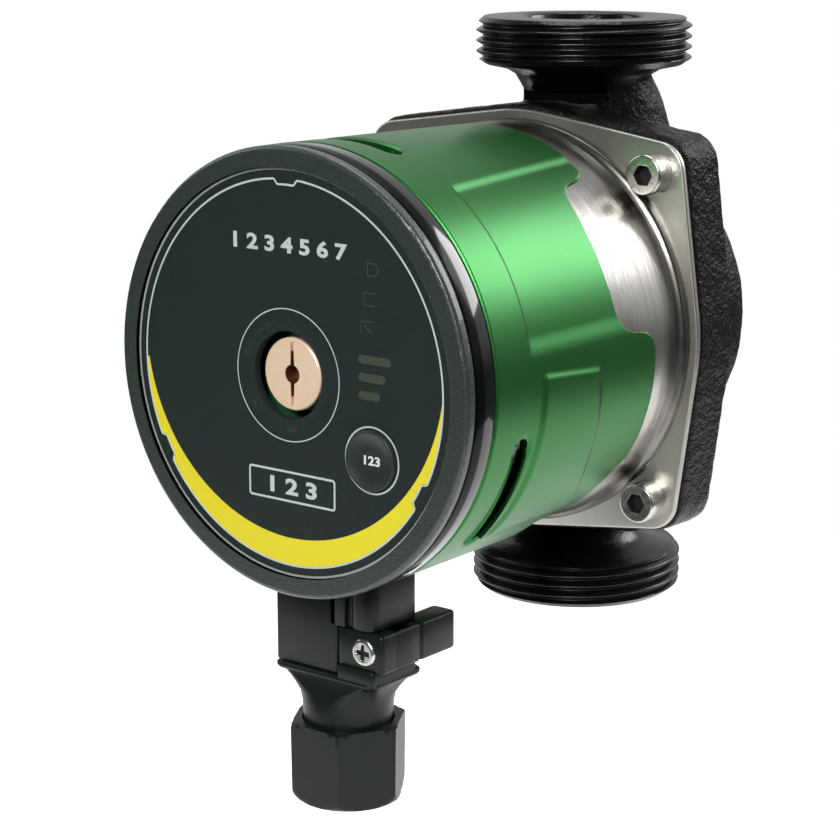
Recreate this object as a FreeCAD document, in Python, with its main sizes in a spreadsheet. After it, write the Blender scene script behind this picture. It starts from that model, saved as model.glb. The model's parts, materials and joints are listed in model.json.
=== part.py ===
import FreeCAD, Part
import math
import os
import Sketcher

# Wet-rotor circulator pump, in millimetres.
# +Z runs up the pipe, the motor points to -Y, and the origin is the centre of the lower port's face.
# Pieces on the motor's axis are drawn with their own +Z pointing forwards, out of the front cover.

os.makedirs("parts", exist_ok=True)
doc = FreeCAD.newDocument("CirculatorPump")
sheet = doc.addObject("Spreadsheet::Sheet", "Sizes")
sized = []
Vec = FreeCAD.Vector


class Size:
    """A length with the sheet expression that gives it, so that both are worked out together."""

    def __init__(self, value, text):
        self.value = value
        self.text = text

    def __float__(self):
        return float(self.value)

    def __add__(self, other):
        other = as_size(other)
        return Size(self.value + other.value, "(%s + %s)" % (self.text, other.text))

    def __sub__(self, other):
        other = as_size(other)
        return Size(self.value - other.value, "(%s - %s)" % (self.text, other.text))

    def __mul__(self, other):
        other = as_size(other)
        return Size(self.value * other.value, "(%s * %s)" % (self.text, other.text))

    def __truediv__(self, other):
        other = as_size(other)
        return Size(self.value / other.value, "(%s / %s)" % (self.text, other.text))

    def __radd__(self, other):
        return as_size(other) + self

    def __rsub__(self, other):
        return as_size(other) - self

    def __rmul__(self, other):
        return as_size(other) * self

    def __neg__(self):
        return Size(-self.value, "(0 - %s)" % self.text)


def as_size(number):
    if isinstance(number, Size):
        return number
    return Size(float(number), "(%s)" % repr(float(number)))


def root_of(length):
    return Size(math.sqrt(length.value), "sqrt(%s)" % length.text)


def size(alias, value):
    """Writes one driving dimension into the sheet and returns it."""
    sized.append(alias)
    row = len(sized)
    sheet.set("A%d" % row, alias)
    sheet.set("B%d" % row, str(value))
    sheet.setAlias("B%d" % row, alias)
    return Size(value, "Sizes.%s" % alias)


# Pump casing and its two threaded ports
port_spacing = size("port_spacing", 130.0)
thread_diameter = size("thread_diameter", 47.8)
thread_pitch = size("thread_pitch", 2.309)
thread_depth = size("thread_depth", 1.479)
collar_height = size("collar_height", 10.4)
port_face_diameter = size("port_face_diameter", 44.6)
bore_diameter = size("bore_diameter", 26.0)
bore_straight = size("bore_straight", 16.0)
neck_diameter = size("neck_diameter", 29.0)
neck_set_back = size("neck_set_back", 3.5)
neck_foot_diameter = size("neck_foot_diameter", 34.0)
neck_foot_height = size("neck_foot_height", 37.0)
volute_diameter = size("volute_diameter", 76.0)
volute_back = size("volute_back", 19.0)
volute_rounding = size("volute_rounding", 15.0)
chamber_diameter = size("chamber_diameter", 68.0)
chamber_floor = size("chamber_floor", 6.0)
seal_seat_diameter = size("seal_seat_diameter", 76.0)
seal_seat_floor = size("seal_seat_floor", 19.4)
passage_diameter = size("passage_diameter", 17.0)
passage_set_back = size("passage_set_back", 5.5)
outlet_diameter = size("outlet_diameter", 12.6)

# Bolted joint between the casing and the motor
flange_diameter = size("flange_diameter", 92.4)
lug_radius = size("lug_radius", 6.6)
screw_spacing = size("screw_spacing", 70.0)
flange_back = size("flange_back", 8.8)
joint_plane = size("joint_plane", 22.4)
screw_diameter = size("screw_diameter", 5.0)
screw_head_diameter = size("screw_head_diameter", 8.5)
screw_head_height = size("screw_head_height", 5.0)
screw_key = size("screw_key", 4.0)
screw_length = size("screw_length", 12.0)

# Fits
running_gap = size("running_gap", 0.05)
assembly_gap = size("assembly_gap", 0.1)
loose_gap = size("loose_gap", 0.4)

# Impeller, shaft, bearings and rotor
impeller_diameter = size("impeller_diameter", 50.0)
eye_diameter = size("eye_diameter", 19.0)
neck_ring_inside = size("neck_ring_inside", 22.3)
neck_ring_outside = size("neck_ring_outside", 24.0)
neck_ring_depth = size("neck_ring_depth", 4.5)
shroud_thickness = size("shroud_thickness", 1.4)
shroud_clearance = size("shroud_clearance", 2.0)
vane_height = size("vane_height", 5.2)
vane_thickness = size("vane_thickness", 1.5)
vane_count = size("vane_count", 6)
hub_diameter = size("hub_diameter", 12.0)
shaft_diameter = size("shaft_diameter", 6.0)
shaft_rear = size("shaft_rear", 9.0)
shaft_length = size("shaft_length", 68.0)
bearing_diameter = size("bearing_diameter", 13.0)
rear_bearing_length = size("rear_bearing_length", 7.4)
front_bearing_length = size("front_bearing_length", 6.0)
plate_thickness = size("plate_thickness", 1.5)
bearing_seat_wall = size("bearing_seat_wall", 2.0)
thrust_washer_diameter = size("thrust_washer_diameter", 12.0)
thrust_washer_thickness = size("thrust_washer_thickness", 2.0)
rotor_core_diameter = size("rotor_core_diameter", 16.0)
rotor_magnet_diameter = size("rotor_magnet_diameter", 31.6)
rotor_rear = size("rotor_rear", 31.0)
rotor_length = size("rotor_length", 35.5)
rotor_sleeve_wall = size("rotor_sleeve_wall", 0.4)

# Rotor can and stator
rotor_can_diameter = size("rotor_can_diameter", 34.4)
rotor_can_wall = size("rotor_can_wall", 0.5)
rotor_can_front = size("rotor_can_front", 76.0)
seal_width = size("seal_width", 4.0)
stator_rear = size("stator_rear", 34.0)
stator_length = size("stator_length", 30.0)
stator_bore_gap = size("stator_bore_gap", 0.2)
yoke_thickness = size("yoke_thickness", 6.0)
tooth_width = size("tooth_width", 12.0)
tooth_count = size("tooth_count", 6)
bobbin_wall = size("bobbin_wall", 1.0)
coil_thickness = size("coil_thickness", 3.2)
end_shield_thickness = size("end_shield_thickness", 4.0)

# Motor housing and green shell
shell_front_diameter = size("shell_front_diameter", 89.7)
shell_taper = size("shell_taper", 1.5)
shell_rear_diameter = shell_front_diameter - shell_taper
shell_rear_wall = size("shell_rear_wall", 1.35)
shell_fit_gap = size("shell_fit_gap", 0.15)
housing_diameter = shell_rear_diameter - 2 * (shell_rear_wall + shell_fit_gap)
housing_wall = size("housing_wall", 1.0)
housing_flange = size("housing_flange", 1.5)
housing_foot = size("housing_foot", 1.8)
housing_front = size("housing_front", 71.5)
housing_lip = size("housing_lip", 12.6)
housing_lip_inside = housing_diameter - 2 * housing_lip
shell_front = size("shell_front", 91.75)
shell_rear = size("shell_rear", 36.4)
shell_side_notch = size("shell_side_notch", 12.9)
shell_bottom_notch = size("shell_bottom_notch", 18.6)
notch_rounding = size("notch_rounding", 3.0)
relief_depth = size("relief_depth", 0.5)
relief_front = size("relief_front", 81.6)
raised_front = size("raised_front", 76.8)
slot_width = size("slot_width", 4.5)
slot_forward = size("slot_forward", 81.3)

# Control housing, boards and front
rim_step = size("rim_step", 0.05)
rim_diameter = shell_front_diameter + 2 * rim_step
rim_land = size("rim_land", 5.4)
rim_inside = rim_diameter - 2 * rim_land
rim_rear = size("rim_rear", 92.2)
rim_front = size("rim_front", 98.3)
skirt_set_in = size("skirt_set_in", 2.9)
skirt_diameter = rim_diameter - 2 * skirt_set_in
skirt_wall = size("skirt_wall", 1.8)
tray_thickness = size("tray_thickness", 1.5)
post_set_in = size("post_set_in", 9.0)
post_circle = skirt_diameter - 2 * post_set_in
post_diameter = size("post_diameter", 5.0)
post_foot_diameter = size("post_foot_diameter", 7.0)
board_thickness = size("board_thickness", 1.6)
board_edge_gap = size("board_edge_gap", 0.7)
control_board_rear = size("control_board_rear", 77.2)
control_board_hole = size("control_board_hole", 23.0)
display_board_rear = size("display_board_rear", 91.0)
display_board_diameter = rim_inside - 2 * board_edge_gap
display_board_hole = size("display_board_hole", 19.0)
cover_seal_thickness = size("cover_seal_thickness", 0.4)
panel_land = size("panel_land", 1.1)
panel_diameter = rim_inside + 2 * panel_land
panel_front = size("panel_front", 100.1)
cover_front = size("cover_front", 101.0)
cover_window_gap = size("cover_window_gap", 0.1)
cover_edge_rounding = size("cover_edge_rounding", 1.1)

# Vent
vent_recess_diameter = size("vent_recess_diameter", 22.2)
vent_hole_diameter = size("vent_hole_diameter", 17.6)
vent_sleeve_diameter = size("vent_sleeve_diameter", 16.0)
vent_sleeve_flange = size("vent_sleeve_flange", 20.0)
vent_sleeve_front = size("vent_sleeve_front", 94.6)
vent_thread_diameter = size("vent_thread_diameter", 10.0)
vent_plug_diameter = size("vent_plug_diameter", 14.6)
vent_plug_front = size("vent_plug_front", 98.8)
vent_plug_head = size("vent_plug_head", 3.2)
vent_plug_shank = size("vent_plug_shank", 11.0)
vent_slot_width = size("vent_slot_width", 1.2)
vent_slot_length = size("vent_slot_length", 12.8)
vent_slot_depth = size("vent_slot_depth", 1.6)
vent_centre_hole = size("vent_centre_hole", 3.8)

# Button and lights, placed from the motor's axis
button_right = size("button_right", 21.3)
button_down = size("button_down", 13.9)
button_diameter = size("button_diameter", 12.0)
button_flange = size("button_flange", 14.0)
button_stem = size("button_stem", 4.0)
button_proud = size("button_proud", 0.1)
button_travel_gap = size("button_travel_gap", 0.6)
switch_width = size("switch_width", 6.0)
switch_height = size("switch_height", 1.6)
light_left = size("light_left", 17.9)
light_height = size("light_height", 1.7)
light_step = size("light_step", 3.5)
light_top = size("light_top", 5.6)
light_longest = size("light_longest", 8.1)
light_shorter = size("light_shorter", 1.35)

# Mains socket and plug
plug_forward = size("plug_forward", 82.5)
socket_width = size("socket_width", 26.0)
socket_depth = size("socket_depth", 15.0)
socket_bottom = size("socket_bottom", 63.4)
socket_corner = size("socket_corner", 2.5)
latch_left = size("latch_left", 3.4)
latch_right = size("latch_right", 15.4)
latch_top = size("latch_top", 53.2)
latch_bottom = size("latch_bottom", 61.4)
latch_depth = size("latch_depth", 10.2)
latch_arm_width = size("latch_arm_width", 6.0)
latch_arm_reach = size("latch_arm_reach", 24.2)
nose_left = size("nose_left", 10.4)
nose_width = size("nose_width", 11.8)
nose_depth = size("nose_depth", 8.6)
nose_height = size("nose_height", 12.0)
pin_thickness = size("pin_thickness", 0.8)
pin_depth = size("pin_depth", 4.0)
pin_step = size("pin_step", 3.6)
contact_wall = size("contact_wall", 0.75)
lip_width = size("lip_width", 27.2)
lip_depth = size("lip_depth", 16.6)
lip_thickness = size("lip_thickness", 2.4)
lip_gap = size("lip_gap", 0.2)
plug_neck_diameter = size("plug_neck_diameter", 18.8)
plug_neck_bottom = size("plug_neck_bottom", 75.2)
barrel_diameter = size("barrel_diameter", 16.4)
barrel_bottom = size("barrel_bottom", 87.6)
cable_space = size("cable_space", 11.0)
gland_flats = size("gland_flats", 22.0)
gland_height = size("gland_height", 17.2)
gland_wall = size("gland_wall", 3.2)
gland_entry = size("gland_entry", 10.4)
gland_seal_length = size("gland_seal_length", 9.0)
gland_seal_bore = size("gland_seal_bore", 8.6)
slip_ring_thickness = size("slip_ring_thickness", 1.2)
plug_screw_head = size("plug_screw_head", 6.0)
plug_screw_shank = size("plug_screw_shank", 3.0)
plug_screw_length = size("plug_screw_length", 13.0)

motor_height = port_spacing / 2
can_outside = rotor_can_diameter + 2 * rotor_can_wall
housing_inside = housing_diameter - 2 * housing_wall
skirt_inside = skirt_diameter - 2 * skirt_wall
seal_front = rim_front + cover_seal_thickness
doc.recompute()

FORWARD = FreeCAD.Rotation(Vec(1, 0, 0), 90)
UPRIGHT = FreeCAD.Rotation()
finished = []


def seat(thing, rotation, base):
    """Places an object, with each coordinate that comes from the sheet bound to it."""
    thing.Placement = FreeCAD.Placement(Vec(*[float(part) for part in base]), rotation)
    for axis, part in zip("xyz", base):
        if isinstance(part, Size):
            thing.setExpression("Placement.Base.%s" % axis, part.text)


def on_motor_axis(thing, forwards=0):
    """Turns an object's own +Z forwards, with its origin on the motor's axis."""
    seat(thing, FORWARD, (0, -forwards if forwards else 0, motor_height))


def on_plug_axis(thing):
    """Stands an object on the plug's axis, with its height counted from the motor's axis."""
    seat(thing, UPRIGHT, (0, -plug_forward, motor_height))


def keep(thing, node):
    """Marks a finished sub-part with the name that people use for it."""
    thing.Label = node
    finished.append(thing)
    return thing


def new_body(node):
    made = doc.addObject("PartDesign::Body", node + "_body")
    return made


def new_sketch(body, plane, level=None):
    made = body.newObject("Sketcher::SketchObject", body.Name + "_sketch")
    support = [feature for feature in body.Origin.OriginFeatures if feature.Role == plane + "_Plane"]
    made.AttachmentSupport = [(support[0], "")]
    made.MapMode = "FlatFace"
    if level is not None:
        level = as_size(level)
        made.AttachmentOffset = FreeCAD.Placement(Vec(0, 0, float(level)), FreeCAD.Rotation())
        made.setExpression("AttachmentOffset.Base.z", level.text)
    return made


def tie_point(sketch, geometry, end, place):
    """Holds a point at its two coordinates from the sketch's origin."""
    for kind, axis, distance in (("DistanceX", -2, place[0]), ("DistanceY", -1, place[1])):
        distance = as_size(distance)
        if distance.value == 0:
            sketch.addConstraint(Sketcher.Constraint("PointOnObject", geometry, end, axis))
            continue
        row = sketch.addConstraint(Sketcher.Constraint(kind, -1, 1, geometry, end, distance.value))
        sketch.setExpression("Constraints[%d]" % row, distance.text)


def draw_outline(sketch, corners):
    """Draws a closed outline of straight lines through the corners."""
    first = sketch.GeometryCount
    points = [Vec(float(across), float(up), 0) for across, up in corners]
    for index, point in enumerate(points):
        following = points[(index + 1) % len(points)]
        sketch.addGeometry(Part.LineSegment(point, following), False)
    for index in range(len(points)):
        following = first + (index + 1) % len(points)
        sketch.addConstraint(Sketcher.Constraint("Coincident", first + index, 2, following, 1))
    for index, corner in enumerate(corners):
        tie_point(sketch, first + index, 1, corner)


def draw_circle(sketch, centre, diameter):
    across, up = centre
    middle = Vec(float(across), float(up), 0)
    row = sketch.addGeometry(Part.Circle(middle, Vec(0, 0, 1), float(diameter) / 2), False)
    tie_point(sketch, row, 3, centre)
    rule = sketch.addConstraint(Sketcher.Constraint("Diameter", row, float(diameter)))
    sketch.setExpression("Constraints[%d]" % rule, as_size(diameter).text)


def turn(body, corners, plane="XZ", level=None, kind="Revolution"):
    """Revolves an outline of (radius, height) corners about the sketch's upright axis."""
    sketch = new_sketch(body, plane, level)
    draw_outline(sketch, corners)
    made = body.newObject("PartDesign::" + kind, body.Name + "_turned")
    made.Profile = sketch
    made.ReferenceAxis = (sketch, ["V_Axis"])
    made.Angle = 360
    return made


def pad(body, level, length, corners=None, circles=(), kind="Pad"):
    """Pads forwards, or pockets backwards, from a level of the body."""
    sketch = new_sketch(body, "XY", level)
    if corners:
        draw_outline(sketch, corners)
    for centre, diameter in circles:
        draw_circle(sketch, centre, diameter)
    made = body.newObject("PartDesign::" + kind, body.Name + "_" + kind.lower())
    made.Profile = sketch
    made.Length = float(length)
    made.setExpression("Length", as_size(length).text)
    return made


def pocket(body, level, length, corners=None, circles=()):
    """Cuts backwards from a level, and makes sure that something was cut."""
    doc.recompute()
    before = body.Shape.Volume
    made = pad(body, level, length, corners, circles, "Pocket")
    doc.recompute()
    if not body.Shape.Volume < before:
        raise RuntimeError("a pocket in %s cuts nothing" % body.Name)
    return made


def round_edges(body, radius, picked):
    """Rounds the edges of the body that the test picks."""
    doc.recompute()
    base = body.Tip
    names = ["Edge%d" % number for number, edge in enumerate(base.Shape.Edges, 1) if picked(edge.BoundBox)]
    made = body.newObject("PartDesign::Fillet", body.Name + "_rounded")
    made.Base = (base, names)
    made.Radius = float(radius)
    made.setExpression("Radius", radius.text)
    body.Tip = made


def box_corners(left, right, low, high):
    return [(left, low), (right, low), (right, high), (left, high)]


def tube(node, inside, outside, rear, front):
    """A plain ring on the motor's axis."""
    body = new_body(node)
    turn(body, box_corners(inside / 2, outside / 2, rear, front))
    on_motor_axis(body)
    return keep(body, node)


def lug_corners(round_diameter):
    """Tangent points of the flange's straight edges, which join its round middle and its lugs."""
    reach = screw_spacing / 2
    away = reach * math.sqrt(2)
    level = (round_diameter / 2 - lug_radius) / away
    slope = root_of(1 - level * level)
    near = (level - slope) / math.sqrt(2)
    far = (level + slope) / math.sqrt(2)
    big = round_diameter / 2
    quarter = [(big * far, big * near), (reach + lug_radius * far, reach + lug_radius * near),
               (reach + lug_radius * near, reach + lug_radius * far), (big * near, big * far)]
    corners = []
    for turn_count in range(4):
        for across, up in quarter:
            for _ in range(turn_count):
                across, up = -up, across
            corners.append((across, up))
    return corners


def screw_places():
    reach = screw_spacing / 2
    return [(reach, reach), (-reach, reach), (-reach, -reach), (reach, -reach)]


def flange_plate(body, rear, thickness):
    """The flange's outline: a round middle with four lugs, joined by straight edges."""
    pad(body, rear, thickness, corners=lug_corners(flange_diameter))
    pad(body, rear, thickness, circles=[((0, 0), flange_diameter)])
    pad(body, rear, thickness, circles=[(place, 2 * lug_radius) for place in screw_places()])


def solid_feature(node, shape):
    made = doc.addObject("Part::Feature", node + "_solid")
    made.Shape = shape
    return made


def cut_away(node, base, tool):
    made = doc.addObject("Part::Cut", node + "_cut")
    made.Base = base
    made.Tool = tool
    return made


def block(low, high):
    """A box between two corners, as a shape."""
    low = Vec(*[float(part) for part in low])
    high = Vec(*[float(part) for part in high])
    return Part.makeBox(high.x - low.x, high.y - low.y, high.z - low.z, low)


def rod(diameter, low, high, across=0, up=0):
    """A cylinder along +Z between two levels, as a shape."""
    start = Vec(float(across), float(up), float(low))
    return Part.makeCylinder(float(diameter) / 2, float(high) - float(low), start)


# Pump casing: a cast flange and volute, with a neck and a threaded collar for each port
def port_corners(side):
    """Half section of one port about the pipe's axis, from the motor's axis out to its face."""
    top = motor_height
    crest = thread_diameter / 2
    root = crest - thread_depth
    turns = int((float(collar_height) - float(thread_pitch) / 2) / float(thread_pitch))
    corners = [(0, side * top), (port_face_diameter / 2, side * top)]
    for index in range(turns):
        level = top - thread_pitch * (index + 0.5)
        corners.append((crest, side * level))
        corners.append((crest, side * (level - thread_pitch * 0.12)))
        corners.append((root, side * (level - thread_pitch * 0.5)))
    under = top - collar_height
    corners.append((crest, side * (top - thread_pitch * (turns + 0.5))))
    corners.append((crest, side * (under + thread_pitch * 0.3)))
    corners.append((crest - thread_depth, side * under))
    corners.append((neck_diameter / 2 + 2.5, side * (under - 2.2)))
    corners.append((neck_diameter / 2, side * (under - 6)))
    corners.append((neck_diameter / 2 - 1, side * (top - volute_diameter / 2)))
    corners.append((0, side * (top - volute_diameter / 2)))
    return corners


def waterways():
    """The space that the water runs through, as one shape about the motor's axis."""
    half = float(motor_height)
    bore = float(bore_diameter) / 2
    narrow = float(passage_diameter) / 2
    back = -float(passage_set_back)
    straight = float(bore_straight)
    bend = float(chamber_diameter) / 2
    seat_depth = float(chamber_floor) - float(neck_ring_depth)
    along = Vec(0, 1, 0)
    entry = Part.makeCylinder(bore, straight, Vec(0, -half, 0), along)
    low = Part.Wire(Part.Circle(Vec(0, straight - half, 0), along, bore).toShape())
    high = Part.Wire(Part.Circle(Vec(0, -bend, back), along, narrow).toShape())
    space = entry.fuse(Part.makeLoft([low, high], True))
    space = space.fuse(Part.makeCylinder(narrow, bend, Vec(0, -bend, back), along))
    space = space.fuse(Part.makeSphere(narrow, Vec(0, 0, back)))
    space = space.fuse(rod(eye_diameter, back, seat_depth))
    space = space.fuse(rod(neck_ring_outside, seat_depth, chamber_floor))
    space = space.fuse(rod(chamber_diameter, chamber_floor, seal_seat_floor))
    space = space.fuse(rod(seal_seat_diameter, seal_seat_floor, joint_plane))
    outlet = float(outlet_diameter) / 2
    middle = (float(chamber_floor) + float(seal_seat_floor)) / 2
    low = Part.Wire(Part.Circle(Vec(0, bend - outlet, middle), along, outlet).toShape())
    high = Part.Wire(Part.Circle(Vec(0, half - straight, 0), along, bore).toShape())
    space = space.fuse(Part.makeLoft([low, high], True))
    return space.fuse(Part.makeCylinder(bore, straight, Vec(0, half - straight, 0), along))


def pump_casing():
    body = new_body("pump_casing")
    flange_plate(body, flange_back, joint_plane - flange_back)
    turn(body, box_corners(0, volute_diameter / 2, -volute_back, flange_back + 1))
    round_edges(body, volute_rounding, lambda box: abs(box.ZMax + float(volute_back)) < 0.01)
    for side in (1, -1):
        turn(body, port_corners(side), "XY")
        under = motor_height - collar_height - 1
        turn(body, [(0, 0), (neck_foot_diameter / 2, 0), (neck_foot_diameter / 2, side * neck_foot_height),
                    (neck_diameter / 2, side * under), (0, side * under)], "XY", -neck_set_back)
    hole = screw_diameter + 2 * running_gap
    pocket(body, joint_plane, screw_length, circles=[(place, hole) for place in screw_places()])
    made = cut_away("pump_casing", body, solid_feature("waterways", waterways()))
    on_motor_axis(made)
    return keep(made, "pump_casing")


pump_casing()

# Neck ring: a stainless wear ring let into the casing round the impeller's eye
tube("neck_ring", neck_ring_inside, neck_ring_outside, chamber_floor - neck_ring_depth, chamber_floor)

# Impeller: a moulded wheel with a shroud on each side of its curved vanes
shroud_rear = chamber_floor + shroud_clearance
vane_rear = shroud_rear + shroud_thickness
vane_front = vane_rear + vane_height
disc_front = vane_front + shroud_thickness
bearing_rear = seal_seat_floor - 1.2


def impeller():
    reach = impeller_diameter / 2
    bore = shaft_diameter / 2
    eye = eye_diameter / 2
    wheel = new_body("impeller")
    turn(wheel, [(bore, vane_rear), (hub_diameter / 2 - 1, vane_rear), (hub_diameter / 2, vane_front),
                 (reach, vane_front), (reach, disc_front), (hub_diameter / 2, disc_front),
                 (hub_diameter / 2, bearing_rear - loose_gap), (bore, bearing_rear - loose_gap)])
    doc.recompute()
    neck = neck_ring_inside / 2 - assembly_gap
    ring = new_body("impeller_shroud")
    turn(ring, [(eye, chamber_floor - neck_ring_depth + 1), (neck, chamber_floor - neck_ring_depth + 1),
                (neck, shroud_rear), (reach, shroud_rear), (reach, vane_rear), (eye, vane_rear)])
    doc.recompute()
    shape = wheel.Shape.fuse(ring.Shape)
    inner = float(hub_diameter) / 2 - 1.2
    outer = float(reach) - 0.4
    lean = math.radians(75)
    bulge = 0.72 * (inner + outer) / 2
    start = Vec(inner, 0, 0)
    middle = Vec(bulge * math.cos(lean * 0.42), bulge * math.sin(lean * 0.42), 0)
    finish = Vec(outer * math.cos(lean), outer * math.sin(lean), 0)
    spine = Part.Arc(start, middle, finish).toShape().Curve
    half = float(vane_thickness) / 2
    centre = spine.Center
    radius = spine.Radius
    sector = Part.makeCylinder(radius + half, float(vane_height), Vec(centre.x, centre.y, float(vane_rear)))
    sector = sector.cut(Part.makeCylinder(radius - half, float(vane_height),
                                          Vec(centre.x, centre.y, float(vane_rear))))
    wedge = Part.makePolygon([centre, centre + (start - centre) * 2, centre + (middle - centre) * 3,
                              centre + (finish - centre) * 2, centre])
    wedge.translate(Vec(0, 0, float(vane_rear)))
    vane = sector.common(Part.Face(wedge).extrude(Vec(0, 0, float(vane_height))))
    vane = vane.common(rod(2 * reach, vane_rear, vane_front)).cut(rod(shaft_diameter, vane_rear, vane_front))
    for index in range(int(float(vane_count))):
        copy = vane.copy()
        copy.rotate(Vec(0, 0, 0), Vec(0, 0, 1), 360.0 * index / float(vane_count))
        shape = shape.fuse(copy)
    made = solid_feature("impeller", shape.removeSplitter())
    on_motor_axis(made)
    keep(made, "impeller")


impeller()

# Bearing plate: a pressed stainless disc that closes the pump chamber and holds the rear bearing
plate_front = seal_seat_floor + plate_thickness
rear_bearing_front = bearing_rear + rear_bearing_length
plate = new_body("bearing_plate")
turn(plate, [(bearing_diameter / 2, seal_seat_floor),
             (seal_seat_diameter / 2 - assembly_gap, seal_seat_floor),
             (seal_seat_diameter / 2 - assembly_gap, plate_front),
             (bearing_diameter / 2 + bearing_seat_wall, plate_front),
             (bearing_diameter / 2 + bearing_seat_wall, rear_bearing_front),
             (bearing_diameter / 2, rear_bearing_front)])
on_motor_axis(plate)
keep(plate, "bearing_plate")

# Carbon bearings, the shaft that runs in them and the thrust washer on it
shaft_bore = shaft_diameter + 2 * running_gap
tube("rear_bearing", shaft_bore, bearing_diameter, bearing_rear, rear_bearing_front)
carrier_front = rotor_can_front - rotor_can_wall
carrier_rear = carrier_front - front_bearing_length
tube("front_bearing", shaft_bore, bearing_diameter, carrier_rear, carrier_front)
tube("bearing_carrier", bearing_diameter, rotor_can_diameter - assembly_gap, carrier_rear + 1, carrier_front)
shaft = new_body("motor_shaft")
pad(shaft, shaft_rear, shaft_length, circles=[((0, 0), shaft_diameter)])
on_motor_axis(shaft)
keep(shaft, "motor_shaft")
washer_front = carrier_rear - assembly_gap
tube("thrust_washer", shaft_diameter, thrust_washer_diameter,
     washer_front - thrust_washer_thickness, washer_front)

# Rotor: a steel core with a ring magnet, sealed in a thin stainless sleeve
rotor_front = rotor_rear + rotor_length
tube("rotor_core", shaft_diameter, rotor_core_diameter, rotor_rear, rotor_front)
tube("rotor_magnet", rotor_core_diameter, rotor_magnet_diameter, rotor_rear, rotor_front)
sleeve = new_body("rotor_sleeve")
inner = rotor_magnet_diameter / 2
turn(sleeve, box_corners(inner, inner + rotor_sleeve_wall, rotor_rear - rotor_sleeve_wall,
                         rotor_front + rotor_sleeve_wall))
turn(sleeve, box_corners(shaft_diameter / 2, inner, rotor_rear - rotor_sleeve_wall, rotor_rear))
turn(sleeve, box_corners(shaft_diameter / 2, inner, rotor_front, rotor_front + rotor_sleeve_wall))
on_motor_axis(sleeve)
keep(sleeve, "rotor_sleeve")

# Rotor can: a thin stainless cup that keeps the water away from the stator
can_flange_front = plate_front + rotor_can_wall
can = new_body("rotor_can")
turn(can, [(rotor_can_diameter / 2, plate_front), (seal_seat_diameter / 2 - assembly_gap, plate_front),
           (seal_seat_diameter / 2 - assembly_gap, can_flange_front), (can_outside / 2, can_flange_front),
           (can_outside / 2, rotor_can_front), (vent_sleeve_diameter / 2, rotor_can_front),
           (vent_sleeve_diameter / 2, carrier_front), (rotor_can_diameter / 2, carrier_front)])
on_motor_axis(can)
keep(can, "rotor_can")

# Casing seal: a flat rubber ring pressed between the can's flange and the end shield
tube("casing_seal", seal_seat_diameter - 2 * seal_width, seal_seat_diameter - 2 * assembly_gap,
     can_flange_front, joint_plane)

# Stator: a laminated core with wound teeth round the can
stator_front = stator_rear + stator_length
core = new_body("stator_core")
stator_outside = housing_inside - 2 * assembly_gap
pad(core, stator_rear, stator_length,
    circles=[((0, 0), stator_outside), ((0, 0), can_outside + 2 * stator_bore_gap)])
slot_inner = can_outside / 2 + 2.3
slot_outer = stator_outside / 2 - yoke_thickness
half_pitch = 180.0 / float(tooth_count)
lean_cos = math.cos(math.radians(half_pitch))
lean_sin = math.sin(math.radians(half_pitch))


def beside_tooth(reach, side):
    """A point on the side of a tooth, seen from the middle of the slot next to it."""
    across = reach * lean_cos + tooth_width / 2 * lean_sin
    up = (reach * lean_sin - tooth_width / 2 * lean_cos) * side
    return (across, up)


slot_cut = pocket(core, stator_front, stator_length,
                  corners=[beside_tooth(slot_inner, -1), beside_tooth(slot_outer, -1),
                           beside_tooth(slot_outer, 1), beside_tooth(slot_inner, 1)])
slots = core.newObject("PartDesign::PolarPattern", "stator_slots")
slots.Originals = [slot_cut]
slots.Axis = ([feature for feature in core.Origin.OriginFeatures if feature.Role == "Z_Axis"][0], [""])
slots.Angle = 360
slots.setExpression("Occurrences", tooth_count.text)
core.Tip = slots
on_motor_axis(core)
keep(core, "stator_core")


def round_the_teeth(node, thickness, inset, margin):
    """One frame round each tooth, with a margin between it and the tooth."""
    low = float(slot_inner) + 2.4 + inset
    high = float(slot_outer) * math.cos(math.radians(half_pitch)) + 1.4 - inset
    half = float(tooth_width) / 2 + margin
    rear = float(stator_rear) - margin
    front = float(stator_front) + margin
    frame = block((low, -half - thickness, rear - thickness), (high, half + thickness, front + thickness))
    frame = frame.cut(block((low - 1, -half, rear), (high + 1, half, front)))
    frame.rotate(Vec(0, 0, 0), Vec(0, 0, 1), half_pitch)
    frames = []
    for index in range(int(float(tooth_count))):
        copy = frame.copy()
        copy.rotate(Vec(0, 0, 0), Vec(0, 0, 1), 2 * half_pitch * index)
        frames.append(copy)
    made = solid_feature(node, Part.makeCompound(frames))
    on_motor_axis(made)
    keep(made, node)


round_the_teeth("coil_bobbins", float(bobbin_wall), 0.0, 0.0)
round_the_teeth("stator_coils", float(coil_thickness), 0.8, float(bobbin_wall))

# End shield: an aluminium ring that carries the stator and presses on the can's flange
tube("end_shield", can_outside + 2 * stator_bore_gap, housing_inside - 2 * assembly_gap,
     joint_plane, joint_plane + end_shield_thickness)

# Motor housing: a drawn stainless can with its bolted flange
flange_front = joint_plane + housing_flange
housing = new_body("motor_housing")
flange_plate(housing, joint_plane, housing_flange)
foot = housing_diameter / 2 + housing_foot
turn(housing, [(0, joint_plane), (foot, joint_plane), (foot, flange_front),
               (foot - housing_foot * 0.75, flange_front + housing_foot * 0.3),
               (housing_diameter / 2, flange_front + housing_foot),
               (housing_diameter / 2, housing_front), (0, housing_front)])
pocket(housing, housing_front - housing_wall, housing_front - housing_wall - joint_plane,
       circles=[((0, 0), housing_inside)])
pocket(housing, housing_front, housing_wall, circles=[((0, 0), housing_lip_inside)])
pocket(housing, flange_front, housing_flange,
       circles=[(place, screw_diameter + 2 * running_gap) for place in screw_places()])
on_motor_axis(housing)
keep(housing, "motor_housing")


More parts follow.
